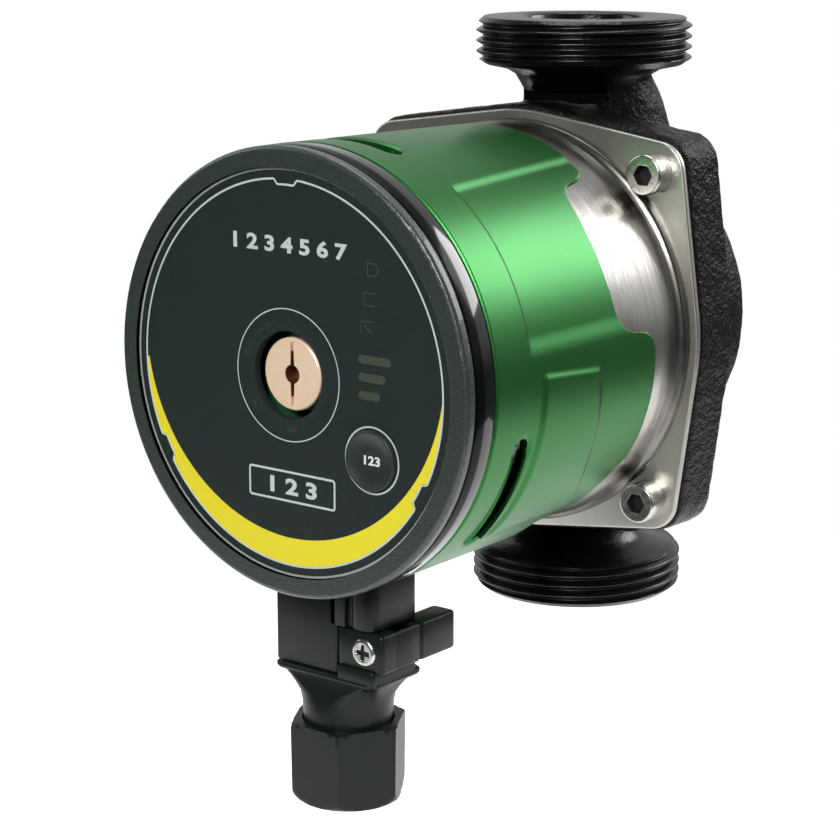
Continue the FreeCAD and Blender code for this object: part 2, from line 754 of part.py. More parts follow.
# Housing screws: four socket-head screws through the flange into the casing
def hexagon(flats, across=0, up=0, start=0):
    """Corners of a hexagon by its width across flats, with a corner at the start angle."""
    corners = []
    for index in range(6):
        angle = math.radians(start + 60 * index)
        reach = flats / math.sqrt(3)
        corners.append((across + reach * math.cos(angle), up + reach * math.sin(angle)))
    return corners


def closed_face(corners, level):
    points = [Vec(float(across), float(up), float(level)) for across, up in corners]
    return Part.Face(Part.makePolygon(points + points[:1]))


def housing_screws():
    head_front = flange_front + screw_head_height
    shape = rod(screw_head_diameter, flange_front, head_front)
    rim = [edge for edge in shape.Edges if abs(edge.BoundBox.ZMin - float(head_front)) < 0.01]
    shape = shape.makeFillet(0.5, rim)
    shape = shape.fuse(rod(screw_diameter, flange_front - screw_length, flange_front))
    key = closed_face(hexagon(screw_key), head_front - screw_head_height / 2)
    shape = shape.cut(key.extrude(Vec(0, 0, float(screw_head_height))))
    screws = []
    for across, up in screw_places():
        copy = shape.copy()
        copy.translate(Vec(float(across), float(up), 0))
        screws.append(copy)
    made = solid_feature("housing_screws", Part.makeCompound(screws))
    on_motor_axis(made)
    keep(made, "housing_screws")


housing_screws()


# Motor shell: the green painted metal cover, with a stepped rear edge, sunk panels and vent slots
def ring_sector(inside, outside, rear, front, start, sweep):
    """A piece of a ring about the motor's axis, between two angles counted from +X upwards."""
    shape = Part.makeCylinder(outside, front - rear, Vec(0, 0, rear), Vec(0, 0, 1), sweep)
    shape = shape.cut(Part.makeCylinder(inside, front - rear, Vec(0, 0, rear)))
    shape.rotate(Vec(0, 0, 0), Vec(0, 0, 1), start)
    return shape


def rounded_notch(rear, front, start, sweep):
    """Cutters for a notch in the shell's rear edge, with its two forward corners rounded."""
    radius = float(notch_rounding)
    inset = math.degrees(radius / (float(shell_rear_diameter) / 2))
    hollow = float(housing_diameter) / 2 - radius
    outside = float(shell_front_diameter) / 2 + radius
    cutters = [ring_sector(hollow, outside, rear, front - radius, start, sweep),
               ring_sector(hollow, outside, front - radius - 1, front, start + inset, sweep - 2 * inset)]
    for angle in (start + inset, start + sweep - inset):
        outwards = Vec(math.cos(math.radians(angle)), math.sin(math.radians(angle)), 0)
        foot = outwards * hollow + Vec(0, 0, front - radius)
        cutters.append(Part.makeCylinder(radius, outside - hollow, foot, outwards))
    return cutters


def motor_shell():
    body = new_body("motor_shell")
    front = shell_front_diameter / 2
    rear = shell_rear_diameter / 2
    inside = housing_diameter / 2 + shell_fit_gap
    turn(body, [(inside, shell_rear), (rear, shell_rear), (front, shell_front), (inside, shell_front)])
    doc.recompute()
    shape = body.Shape.copy()
    rear_edge = float(shell_rear)
    side_notch = rear_edge + float(shell_side_notch)
    bottom_notch = rear_edge + float(shell_bottom_notch)
    for start, sweep, depth in ((7.5, 44.5, side_notch), (128.0, 44.5, side_notch),
                                (231.0, 78.0, bottom_notch)):
        shape = shape.cut(rounded_notch(rear_edge - 20.0, depth, start, sweep))
    outside = float(front) + float(notch_rounding)
    hollow = float(inside)
    sunk = float(front) - float(relief_depth)
    side_low = side_notch - float(notch_rounding)
    for start in (9.0, 126.0):
        shape = shape.cut(ring_sector(sunk, outside, side_low, float(relief_front), start, 45.0))
    raised = float(front) + float(relief_depth) / 2
    for start in (-41.0, 181.0):
        shape = shape.fuse(ring_sector(float(rear), raised, bottom_notch + float(notch_rounding),
                                       float(raised_front), start, 40.0))
    width = float(slot_width)
    slot_rear = float(slot_forward) - width / 2
    slot_front = float(slot_forward) + width / 2
    for start, sweep in ((73.0, 34.0), (-48.0, 35.0), (193.0, 35.0)):
        shape = shape.cut(ring_sector(hollow - 1, outside, slot_rear, slot_front, start, sweep))
    half = float(socket_width) / 2 + float(loose_gap)
    back = float(plug_forward) - float(socket_depth) / 2 - float(loose_gap)
    shape = shape.cut(block((-half, -outside, back), (half, -hollow / 2, 2 * float(shell_front))))
    made = solid_feature("motor_shell", shape)
    on_motor_axis(made)
    keep(made, "motor_shell")


motor_shell()

# Control housing: a black moulded tray with a glossy rim that shows between the shell and the cover
tray_front = housing_front + tray_thickness
tray = new_body("control_housing")
turn(tray, [(can_outside / 2 + loose_gap, housing_front), (skirt_diameter / 2, housing_front),
            (skirt_diameter / 2, rim_rear), (rim_diameter / 2, rim_rear), (rim_diameter / 2, rim_front),
            (rim_inside / 2, rim_front), (rim_inside / 2, rim_rear + 1), (skirt_inside / 2, rim_rear),
            (skirt_inside / 2, tray_front), (can_outside / 2 + loose_gap, tray_front)])
post_places = []
for index in range(3):
    angle = math.radians(90 + 120 * index)
    post_places.append((post_circle / 2 * math.cos(angle), post_circle / 2 * math.sin(angle)))
pad(tray, tray_front, control_board_rear - tray_front,
    circles=[(place, post_foot_diameter) for place in post_places])
pad(tray, control_board_rear, display_board_rear - control_board_rear,
    circles=[(place, post_diameter) for place in post_places])
on_motor_axis(tray)
keep(tray, "control_housing")

# Control board, on the feet of the tray's posts, with its parts soldered on
control_board_front = control_board_rear + board_thickness
board = new_body("control_board")
pad(board, control_board_rear, board_thickness,
    circles=[((0, 0), skirt_inside - 2 * loose_gap), ((0, 0), control_board_hole)]
    + [(place, post_diameter + 2 * assembly_gap) for place in post_places])
on_motor_axis(board)
keep(board, "control_board")


def board_components():
    """Capacitors, a choke, a power module, a relay and small parts, on the front of the board."""
    level = float(control_board_front)
    reach = float(skirt_inside) / 2
    room = float(display_board_rear) - level
    pieces = []
    for across, up, width, tall in ((0.55, 0.4, 0.3, 0.9), (0.7, 0.1, 0.2, 0.86)):
        pieces.append(rod(width * reach, level, level + tall * room, across * reach, up * reach))
    for left, low, right, high, tall in ((-0.8, -0.15, -0.45, 0.2, 0.74),
                                         (-0.25, 0.35, 0.2, 0.65, 0.26),
                                         (0.3, -0.75, 0.62, -0.42, 0.66),
                                         (-0.55, -0.65, -0.35, -0.45, 0.16)):
        pieces.append(block((left * reach, low * reach, level),
                            (right * reach, high * reach, level + tall * room)))
    for index in range(6):
        left = (0.1 * index - 0.4) * reach
        pieces.append(block((left, 0.71 * reach, level),
                            (left + 0.055 * reach, 0.75 * reach, level + 0.07 * room)))
    made = solid_feature("board_components", Part.makeCompound(pieces))
    on_motor_axis(made)
    keep(made, "board_components")


board_components()

# Display board, screwed down on the posts, with its lamps and the button's switch
display_board_front = display_board_rear + board_thickness
board = new_body("display_board")
pad(board, display_board_rear, board_thickness,
    circles=[((0, 0), display_board_diameter), ((0, 0), display_board_hole)])
on_motor_axis(board)
keep(board, "display_board")


def light_span(index):
    """Left end, right end and middle height of one light bar."""
    left = light_left
    right = light_left + light_longest - light_shorter * index
    return left, right, light_top - light_step * index


def led_chips():
    level = display_board_front
    pieces = []
    for index in range(3):
        left, right, up = light_span(index)
        middle = (left + right) / 2
        pieces.append(block((middle - 1, up - 0.6, level), (middle + 1, up + 0.6, level + 0.8)))
    made = solid_feature("led_chips", Part.makeCompound(pieces))
    on_motor_axis(made)
    keep(made, "led_chips")


def rounded_bar(left, right, up, height, rear, front):
    """A bar with round ends, between two levels."""
    half = float(height) / 2
    low = Vec(float(left) + half, float(up) - half, float(rear))
    shape = Part.makeBox(float(right) - float(left) - 2 * half, 2 * half, float(front) - float(rear), low)
    for across in (float(left) + half, float(right) - half):
        shape = shape.fuse(rod(2 * half, rear, front, across, up))
    return shape.removeSplitter()


def led_lenses():
    pieces = []
    for index in range(3):
        left, right, up = light_span(index)
        pieces.append(rounded_bar(left, right, up, light_height, display_board_front + 1, panel_front))
    made = solid_feature("led_lenses", Part.makeCompound(pieces))
    on_motor_axis(made)
    keep(made, "led_lenses")


led_chips()
led_lenses()

# Button and the small push switch behind it
button_centre = (button_right, -button_down)
switch_front = display_board_front + switch_height
switch = new_body("button_switch")
pad(switch, display_board_front, switch_height * 0.75,
    corners=box_corners(button_right - switch_width / 2, button_right + switch_width / 2,
                        -button_down - switch_width / 2, switch_width / 2 - button_down))
pad(switch, display_board_front + switch_height * 0.75, switch_height * 0.25,
    circles=[(button_centre, switch_width / 2)])
on_motor_axis(switch)
keep(switch, "button_switch")

button = new_body("mode_button")
cap_front = cover_front + button_proud
stem_rear = switch_front + button_travel_gap
flange_top = rim_front - loose_gap
pad(button, flange_top - 1, cap_front - flange_top + 1, circles=[(button_centre, button_diameter)])
pad(button, flange_top - 1, 1, circles=[(button_centre, button_flange)])
pad(button, stem_rear, flange_top - stem_rear - 1, circles=[(button_centre, button_stem)])
on_motor_axis(button)
keep(button, "mode_button")

# Face panel: the black sheet under the cover, pierced for the vent, the button and the light bars
panel = new_body("face_panel")
button_hole = button_diameter + 4 * running_gap
pad(panel, rim_front, panel_front - rim_front,
    circles=[((0, 0), panel_diameter), ((0, 0), vent_hole_diameter), (button_centre, button_hole)])
doc.recompute()
windows = []
for index in range(3):
    left, right, up = light_span(index)
    windows.append(rounded_bar(left - running_gap, right + running_gap, up, light_height + 2 * running_gap,
                               rim_front - 1, panel_front + 1))
made = cut_away("face_panel", panel, solid_feature("light_windows", Part.makeCompound(windows)))
on_motor_axis(made)
keep(made, "face_panel")

# Cover seal and the smoky clear front cover, which turns over the panel's edge
tube("cover_seal", panel_diameter + 2 * assembly_gap, rim_diameter - 1.6, rim_front, seal_front)
cover = new_body("front_cover")
window_rear = panel_front + cover_window_gap
turn(cover, [(vent_recess_diameter / 2 - 0.8, window_rear), (panel_diameter / 2 + assembly_gap, window_rear),
             (panel_diameter / 2 + assembly_gap, seal_front), (rim_diameter / 2, seal_front),
             (rim_diameter / 2, cover_front), (vent_recess_diameter / 2, cover_front)])
round_edges(cover, cover_edge_rounding,
            lambda box: abs(box.ZMin - float(cover_front)) < 0.01
            and box.XLength > float(rim_diameter) - 0.1)
pocket(cover, cover_front, cover_front - window_rear, circles=[(button_centre, button_hole)])
on_motor_axis(cover)
keep(cover, "front_cover")

# Vent: a threaded sleeve on the rotor can, a slotted plug in it and the plug's sealing ring
sleeve = new_body("vent_sleeve")
thread_bore = vent_thread_diameter + 2 * running_gap
sleeve_seat = rotor_can_front + 1
turn(sleeve, [(thread_bore / 2, carrier_front), (vent_sleeve_diameter / 2, carrier_front),
              (vent_sleeve_diameter / 2, rotor_can_front), (vent_sleeve_flange / 2, rotor_can_front),
              (vent_sleeve_flange / 2, sleeve_seat), (vent_sleeve_diameter / 2, sleeve_seat),
              (vent_sleeve_diameter / 2, vent_sleeve_front), (thread_bore / 2, vent_sleeve_front)])
on_motor_axis(sleeve)
keep(sleeve, "vent_sleeve")

head_rear = vent_plug_front - vent_plug_head
tube("vent_plug_seal", vent_thread_diameter + 2 * running_gap, vent_plug_diameter - 0.8,
     vent_sleeve_front, head_rear)


def vent_plug():
    shape = rod(vent_plug_diameter, head_rear, vent_plug_front)
    rim = [edge for edge in shape.Edges if abs(edge.BoundBox.ZMin - float(vent_plug_front)) < 0.01]
    shape = shape.makeChamfer(0.3, rim)
    shape = shape.fuse(rod(vent_thread_diameter, head_rear - vent_plug_shank, head_rear))
    half = float(vent_slot_width) / 2
    reach = float(vent_slot_length) / 2
    floor = float(vent_plug_front - vent_slot_depth)
    depth = float(vent_slot_depth) + 1
    taper = closed_face([(-half * 0.6, -reach), (half * 0.6, -reach), (half, 0), (half * 0.6, reach),
                         (-half * 0.6, reach), (-half, 0)], floor)
    shape = shape.cut(taper.extrude(Vec(0, 0, depth)))
    shape = shape.cut(rod(vent_centre_hole, floor - 1.5, floor + depth))
    made = solid_feature("vent_plug", shape)
    on_motor_axis(made)
    keep(made, "vent_plug")


vent_plug()


# Mains socket: a moulded block under the control housing, with three blades in its mouth
def blade_places():
    middle = nose_width / 2 - nose_left
    return [middle + pin_step * index for index in (-1, 0, 1)]


def socket_housing():
    half = float(socket_width) / 2
    deep = float(socket_depth) / 2
    bottom = -float(socket_bottom)
    shape = block((-half, -deep, bottom), (half, deep, -float(skirt_diameter) / 2 + deep))
    upright = [edge for edge in shape.Edges
               if edge.BoundBox.ZLength > deep / 2 and edge.BoundBox.YMax < -deep / 2
               and edge.BoundBox.XMin > 0]
    shape = shape.makeFillet(float(socket_corner), upright)
    forward = float(plug_forward)
    skirt = Part.makeCylinder(float(skirt_diameter) / 2 + float(running_gap), forward,
                              Vec(0, -deep, 0), Vec(0, 1, 0))
    shape = shape.cut(skirt)
    gap = float(assembly_gap)
    shape = shape.cut(block((float(latch_left) - gap, -60, bottom - 1), (60, 60, gap - float(latch_top))))
    groove = float(latch_left) + 2.2
    shape = shape.cut(block((groove, -deep - 1, bottom), (groove + 0.7, 0.8 - deep, 0)))
    left = -float(nose_left) - gap
    right = left + float(nose_width) + 2 * gap
    inner = float(nose_depth) / 2 + gap
    roof = bottom + float(nose_height) + float(loose_gap)
    shape = shape.cut(block((left, -inner, bottom - 1), (right, inner, roof)))
    for blade in blade_shapes():
        shape = shape.cut(blade)
    made = solid_feature("socket_housing", shape)
    on_plug_axis(made)
    keep(made, "socket_housing")


def blade_shapes():
    thick = float(pin_thickness) / 2
    wide = float(pin_depth) / 2
    low = -float(socket_bottom) + 1.2
    top = -float(skirt_diameter) / 2 - 1.2
    return [block((float(across) - thick, -wide, low), (float(across) + thick, wide, top))
            for across in blade_places()]


def socket_pins():
    made = solid_feature("socket_pins", Part.makeCompound(blade_shapes()))
    on_plug_axis(made)
    keep(made, "socket_pins")


socket_housing()
socket_pins()


# Plug: a body with a nose that enters the socket, a lip, a neck and a barrel for the gland nut
def contact_shapes(with_slot):
    gap = float(running_gap)
    thick = float(pin_thickness) / 2 + gap
    wide = float(pin_depth) / 2 + gap
    wall = float(contact_wall)
    low = -float(socket_bottom) - 0.2
    top = -float(socket_bottom) + float(nose_height)
    shapes = []
    for across in blade_places():
        middle = float(across)
        shape = block((middle - thick - wall, -wide - wall, low), (middle + thick + wall, wide + wall, top))
        if with_slot:
            shape = shape.cut(block((middle - thick, -wide, low + 1), (middle + thick, wide, top)))
        shapes.append(shape)
    return shapes


lip_top = socket_bottom + lip_gap


def plug_body():
    top = -float(lip_top)
    under = top - float(lip_thickness)
    half = float(lip_width) / 2
    deep = float(lip_depth) / 2
    shape = block((-half, -deep, under), (half, deep, top))
    upright = [edge for edge in shape.Edges if edge.BoundBox.ZLength > 1]
    shape = shape.makeFillet(3.0, upright)
    left = -float(nose_left)
    nose = float(nose_depth) / 2
    tip = -float(socket_bottom) + float(nose_height)
    shape = shape.fuse(block((left, -nose, top), (left + float(nose_width), nose, tip)))
    post_left = float(latch_left) + 0.2
    post_right = float(socket_width) / 2
    back = float(socket_depth) / 2
    inner = float(latch_depth) - back
    shape = shape.fuse(block((post_left, -back, top), (post_right, back, -float(latch_bottom))))
    shape = shape.fuse(block((post_left, inner, top), (post_right - 0.2, back, -float(latch_top) - 0.3)))
    neck = float(plug_neck_diameter) / 2
    cone = Part.makeCone(neck, neck + 2.6, 5.5, Vec(0, 0, under - 5.5))
    shape = shape.fuse(cone).fuse(rod(2 * neck, -plug_neck_bottom, under))
    shape = shape.fuse(rod(barrel_diameter, -barrel_bottom, under))
    shape = shape.cut(block((neck - 0.9, -20, -float(plug_neck_bottom) - 0.01), (20, 20, under - 5.5)))
    shape = shape.cut(rod(cable_space, -barrel_bottom - 1, under + 1))
    for contact in contact_shapes(False):
        shape = shape.cut(contact)
    across, up = plug_screw_place()
    shape = shape.cut(screw_rod(plug_screw_shank, 0, latch_depth + 6, across, up))
    made = solid_feature("plug_body", shape)
    on_plug_axis(made)
    keep(made, "plug_body")


def plug_screw_place():
    return (float(latch_left) + float(latch_right)) / 2 + 1.2, -(float(latch_top) + float(latch_bottom)) / 2


def screw_rod(diameter, start, finish, across, up):
    """A cylinder that runs back from the plug's front, between two depths."""
    front = -float(socket_depth) / 2
    length = float(finish) - float(start)
    place = Vec(across, front + float(start), up)
    return Part.makeCylinder(float(diameter) / 2, length, place, Vec(0, 1, 0))


def plug_contacts():
    made = solid_feature("plug_contacts", Part.makeCompound(contact_shapes(True)))
    on_plug_axis(made)
    keep(made, "plug_contacts")


def plug_latch():
    front = -float(socket_depth) / 2
    back = front + float(latch_depth)
    low = -float(latch_bottom)
    top = -float(latch_top)
    left = float(latch_left) + 0.1
    right = float(latch_right)
    side = float(socket_width) / 2 + float(assembly_gap)
    shape = block((left, front, low), (right, back, top))
    reach = front + float(latch_arm_reach)
    shape = shape.fuse(block((side, front + 1, low), (right, reach, top)))
    behind = float(socket_depth) / 2 + float(loose_gap)
    shape = shape.fuse(block((right - float(latch_arm_width), behind, low), (right, reach, top)))
    across, up = plug_screw_place()
    shape = shape.cut(screw_rod(plug_screw_shank + 2 * running_gap, -1, latch_depth + 1, across, up))
    shape = shape.cut(screw_rod(plug_screw_head + 4 * running_gap, -1, 1.2, across, up))
    made = solid_feature("plug_latch", shape)
    on_plug_axis(made)
    keep(made, "plug_latch")


def plug_screw():
    across, up = plug_screw_place()
    shape = screw_rod(plug_screw_head, -0.6, 1.2, across, up)
    rim = [edge for edge in shape.Edges
           if edge.BoundBox.YLength < 0.01 and edge.BoundBox.YMax < -float(socket_depth) / 2]
    shape = shape.makeFillet(0.8, rim)
    shape = shape.fuse(screw_rod(plug_screw_shank, 1.2, plug_screw_length, across, up))
    front = -float(socket_depth) / 2
    for half_across, half_up in ((1.7, 0.45), (0.45, 1.7)):
        shape = shape.cut(block((across - half_across, front - 1, up - half_up),
                                (across + half_across, front + 0.7, up + half_up)))
    made = solid_feature("plug_screw", shape)
    on_plug_axis(made)
    keep(made, "plug_screw")


plug_body()
plug_contacts()
plug_latch()
plug_screw()

# Gland: a rubber sleeve that grips the cable, a slip ring and the hexagonal nut
barrel_end = -barrel_bottom
gland_bottom = -(barrel_bottom + slip_ring_thickness + gland_wall + 0.4)
gland_top = gland_bottom + gland_height


def plug_ring(node, inside, outside, low, high):
    body = new_body(node)
    turn(body, box_corners(inside / 2, outside / 2, low, high))
    on_plug_axis(body)
    keep(body, node)


plug_ring("gland_seal", gland_seal_bore, cable_space - 2 * assembly_gap, barrel_end,
          barrel_end + gland_seal_length)
plug_ring("gland_slip_ring", gland_seal_bore + 0.6, barrel_diameter, gland_bottom + gland_wall,
          gland_bottom + gland_wall + slip_ring_thickness)
nut = new_body("gland_nut")
pad(nut, gland_bottom, gland_height, corners=hexagon(gland_flats, start=0))
pocket(nut, gland_top, gland_height - gland_wall,
       circles=[((0, 0), barrel_diameter + 4 * running_gap)])
pocket(nut, gland_bottom + gland_wall, gland_wall, circles=[((0, 0), gland_entry)])
on_plug_axis(nut)
keep(nut, "gland_nut")

doc.recompute()
for thing in doc.Objects:
    if "Invalid" in thing.State or "Error" in thing.State:
        raise RuntimeError("%s did not build: %s" % (thing.Label, thing.State))
for thing in finished:
    if thing.Shape.isNull() or not thing.Shape.isValid() or not thing.Shape.Solids:
        raise RuntimeError("%s has no valid solid" % thing.Label)
for thing in finished:
    thing.Shape.exportStep("parts/%s.step" % thing.Label)
print(len(finished), "sub-parts written")
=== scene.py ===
import json
import math

import bmesh
import bpy
from mathutils import Matrix, Vector, noise

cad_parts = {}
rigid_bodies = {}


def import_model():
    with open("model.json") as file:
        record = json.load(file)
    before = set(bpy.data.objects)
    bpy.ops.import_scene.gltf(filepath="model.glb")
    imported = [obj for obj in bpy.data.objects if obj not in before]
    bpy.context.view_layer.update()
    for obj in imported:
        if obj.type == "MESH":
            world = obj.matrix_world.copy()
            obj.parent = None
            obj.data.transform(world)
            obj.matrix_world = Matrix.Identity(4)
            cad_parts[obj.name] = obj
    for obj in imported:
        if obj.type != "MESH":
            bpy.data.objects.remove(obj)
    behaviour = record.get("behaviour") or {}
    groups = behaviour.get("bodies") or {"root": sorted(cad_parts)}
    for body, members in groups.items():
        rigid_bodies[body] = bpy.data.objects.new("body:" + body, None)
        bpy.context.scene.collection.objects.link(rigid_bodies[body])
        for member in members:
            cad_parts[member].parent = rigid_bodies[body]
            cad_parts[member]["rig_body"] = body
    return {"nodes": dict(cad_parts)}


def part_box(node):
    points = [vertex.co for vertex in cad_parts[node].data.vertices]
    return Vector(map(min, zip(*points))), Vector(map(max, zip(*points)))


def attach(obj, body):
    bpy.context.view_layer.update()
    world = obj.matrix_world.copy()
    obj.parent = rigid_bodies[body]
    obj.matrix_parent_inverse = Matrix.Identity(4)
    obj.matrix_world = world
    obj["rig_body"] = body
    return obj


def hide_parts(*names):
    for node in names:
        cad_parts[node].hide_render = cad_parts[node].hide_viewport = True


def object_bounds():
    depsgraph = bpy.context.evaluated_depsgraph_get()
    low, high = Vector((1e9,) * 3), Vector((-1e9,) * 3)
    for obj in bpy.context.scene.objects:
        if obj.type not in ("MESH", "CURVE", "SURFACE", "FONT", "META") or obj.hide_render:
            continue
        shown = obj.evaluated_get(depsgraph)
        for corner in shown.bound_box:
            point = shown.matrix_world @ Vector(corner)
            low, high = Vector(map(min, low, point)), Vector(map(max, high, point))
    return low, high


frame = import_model()
cad_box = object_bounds()
nodes = frame["nodes"]
MM = 0.001

# Camera and studio: the pump is seen from its front right and a little above, on a white sweep.
# The room behind it is white and the room in front is dim, as in a product photographer's studio.
axis_height = (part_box("motor_shaft")[0].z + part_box("motor_shaft")[1].z) / 2
axis_level = axis_height / MM
white = (1.0, 1.0, 1.0)


def new_object(name, data):
    """An object with its data, in the scene."""
    made = bpy.data.objects.new(name, data)
    bpy.context.scene.collection.objects.link(made)
    return made


def aim(made, place, target):
    """Puts a camera or lamp at a place and turns it to a target, both counted from the motor's axis."""
    made.location = place + Vector((0, 0, axis_height))
    made.rotation_euler = (target - place).to_track_quat("-Z", "Y").to_euler()


camera_data = bpy.data.cameras.new("camera")
camera_data.lens = 101.0
camera_data.sensor_width = 36.0
camera = new_object("camera", camera_data)
aim(camera, Vector((300.7, -437.0, 94.4)) * MM, Vector((-6.8, -50.0, -18.9)) * MM)
bpy.context.scene.camera = camera
bpy.context.scene.view_settings.view_transform = "Standard"

for name, place, width, height, power, tint in (
        ("back_softbox", (0.42, 0.76, 0.48), 0.50, 0.42, 5.0, white),
        ("front_softbox", (0.35, -0.95, 0.55), 0.35, 0.35, 12.0, (1.0, 0.99, 0.97)),
        ("left_softbox", (-0.9, -0.35, 0.55), 0.4, 0.6, 2.0, (0.97, 0.99, 1.0)),
        ("top_softbox", (-0.15, 0.15, 0.95), 0.6, 0.5, 3.5, white)):
    lamp_data = bpy.data.lights.new(name, "AREA")
    lamp_data.shape = "RECTANGLE"
    lamp_data.size = width
    lamp_data.size_y = height
    lamp_data.energy = power
    lamp_data.color = tint
    aim(new_object(name, lamp_data), Vector(place), Vector())


# Floor: a white sweep under the pump, lit as any floor and lifted to white for the camera. It lies below
# the lowest point that the plug's nut reaches when the plug is pulled and the nut is undone.
class Wire:
    """A shader value that can be used in sums and products, each of which adds its Math node."""

    def __init__(self, tree, socket):
        self.tree = tree
        self.socket = socket

    def maths(self, operation, other=0.0):
        return add_node(self.tree, "ShaderNodeMath", {"operation": operation}, {0: self, 1: other})

    def __add__(self, other):
        return self.maths("ADD", other)

    def __sub__(self, other):
        return self.maths("SUBTRACT", other)

    def __rsub__(self, other):
        return add_node(self.tree, "ShaderNodeMath", {"operation": "SUBTRACT"}, {0: other, 1: self})

    def __mul__(self, other):
        return self.maths("MULTIPLY", other)

    def __gt__(self, other):
        return self.maths("GREATER_THAN", other)

    def __lt__(self, other):
        return self.maths("LESS_THAN", other)

    __radd__ = __add__
    __rmul__ = __mul__

    def clipped(self):
        """The value kept between nothing and one."""
        return add_node(self.tree, "ShaderNodeClamp", {}, {"Value": self}, "Result")


def add_node(tree, kind, settings, inputs, output=0):
    """Adds a shader node, with its settings first and then the values or links of its sockets."""
    node = tree.nodes.new(kind)
    for name, value in settings.items():
        setattr(node, name, value)
    for name, value in inputs.items():
        if isinstance(value, Wire):
            tree.links.new(value.socket, node.inputs[name])
        else:
            node.inputs[name].default_value = value
    return Wire(tree, node.outputs[output])


def new_finish(name, colour, roughness, metallic=0.0, **constants):
    """A material with one Principled shader, its plain values set on the shader's own sockets."""
    material = bpy.data.materials.new(name)
    material.use_nodes = True
    tree = material.node_tree
    shader = tree.nodes["Principled BSDF"]
    shader.inputs["Base Color"].default_value = tuple(colour) + (1.0,)
    shader.inputs["Roughness"].default_value = roughness
    shader.inputs["Metallic"].default_value = metallic
    for key, value in constants.items():
        shader.inputs[key.replace("_", " ")].default_value = value
    return material, tree, shader


def feed(tree, wire, shader, name):
    """Links a wire to one of the shader's sockets."""
    tree.links.new(wire.socket, shader.inputs[name])


floor_size = 0.5
floor_lift = 0.62
plug_travel_room = 0.034
floor_level = cad_box[0].z - plug_travel_room
half = floor_size / 2
floor_mesh = bpy.data.meshes.new("floor")
floor_mesh.from_pydata([(-half, -half, floor_level), (half, -half, floor_level),
                        (half, half, floor_level), (-half, half, floor_level)], [], [(0, 1, 2, 3)])
new_object("floor", floor_mesh)
floor_paint, tree, shader = new_finish("floor_paint", (0.72, 0.72, 0.72), 0.9)
path = tree.nodes.new("ShaderNodeLightPath")
seen = Wire(tree, path.outputs["Is Camera Ray"]) + Wire(tree, path.outputs["Is Transmission Ray"])
seen = (seen + Wire(tree, path.outputs["Is Glossy Ray"])).clipped()
glow = tree.nodes.new("ShaderNodeEmission")
glow.inputs["Color"].default_value = white + (1.0,)
feed(tree, seen * floor_lift, glow, "Strength")
both = tree.nodes.new("ShaderNodeAddShader")
tree.links.new(shader.outputs[0], both.inputs[0])
tree.links.new(glow.outputs[0], both.inputs[1])
tree.links.new(both.outputs[0], tree.nodes["Material Output"].inputs["Surface"])
floor_mesh.materials.append(floor_paint)


# The world is white to the camera. To the pump it is bright behind and above, and dim elsewhere.
def part_of(tree, place, letter):
    """One part of a place: X across, Y towards the rear or Z up."""
    return add_node(tree, "ShaderNodeSeparateXYZ", {}, {"Vector": place}, letter)


def eased(tree, value, low, high, start=0.0, finish=1.0):
    """A soft step from a start to a finish while a value goes from low to high."""
    return add_node(tree, "ShaderNodeMapRange", {"interpolation_type": "SMOOTHSTEP"},
                    {"Value": value, "From Min": low, "From Max": high, "To Min": start, "To Max": finish})


dimmest = 0.04
brightest = 0.6
world = bpy.data.worlds.new("studio")
bpy.context.scene.world = world
world.use_nodes = True
tree = world.node_tree
direction = add_node(tree, "ShaderNodeTexCoord", {}, {}, "Generated")
behind = eased(tree, part_of(tree, direction, "Y"), -0.1, 0.55)
above = eased(tree, part_of(tree, direction, "Z"), -0.08, 0.16, 0.12, 1.0)
room = dimmest + behind * above * brightest
seen = add_node(tree, "ShaderNodeLightPath", {}, {}, "Is Camera Ray")
feed(tree, seen + (1 - seen) * room, tree.nodes["Background"], "Strength")
tree.nodes["Background"].inputs["Color"].default_value = white + (1.0,)


# Pump casing: sand-cast iron with a square flange, a round volute and a neck to each port, dipped in
# black gloss paint. The collars are turned and threaded afterwards, so they are smooth.
def from_motor_axis(across, up, forward):
    """A point in the frame from its place across, up and forward of the motor's axis, in millimetres."""
    return Vector((across * MM, -forward * MM, axis_height + up * MM))


def rounded_outline(corners, steps=6):
    """A closed outline through (across, along, radius) corners, with each corner rounded."""
    points = []
    count = len(corners)
    for index, (across, along, radius) in enumerate(corners):
        here = Vector((across, along))
        if radius <= 0:
            points.append(here)
            continue
        before = (Vector(corners[index - 1][:2]) - here).normalized()
        after = (Vector(corners[(index + 1) % count][:2]) - here).normalized()
        half_angle = before.angle(after) / 2
        reach = radius / math.tan(half_angle)
        middle = here + (before + after).normalized() * (radius / math.sin(half_angle))
        start = here + before * reach - middle
        finish = here + after * reach - middle
        sweep = start.angle_signed(finish)
        for step in range(steps + 1):
            turned = start.copy()
            turned.rotate(Matrix.Rotation(-sweep * step / steps, 2))
            points.append(middle + turned)
    return points


def new_mesh(name, points, faces):
    """A mesh from points in metres."""
    mesh = bpy.data.meshes.new(name)
    mesh.from_pydata([tuple(point) for point in points], [], faces)
    return mesh


def clean(mesh):
    """Joins a mesh's doubled points and turns its faces outwards."""
    shape = bmesh.new()
    shape.from_mesh(mesh)
    bmesh.ops.remove_doubles(shape, verts=shape.verts, dist=0.002 * MM)
    bmesh.ops.recalc_face_normals(shape, faces=shape.faces)
    shape.to_mesh(mesh)
    shape.free()


def settle(piece, body, finish, replaced=(), sharp=35.0):
    """Cleans a piece's mesh, gives it its finish and fixes it to its body."""
    mesh = piece.data
    clean(mesh)
    mesh.polygons.foreach_set("use_smooth", [True] * len(mesh.polygons))
    mesh.set_sharp_from_angle(angle=math.radians(sharp))
    mesh.materials.clear()
    mesh.materials.append(finish)
    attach(piece, body)
    if replaced:
        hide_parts(*replaced)


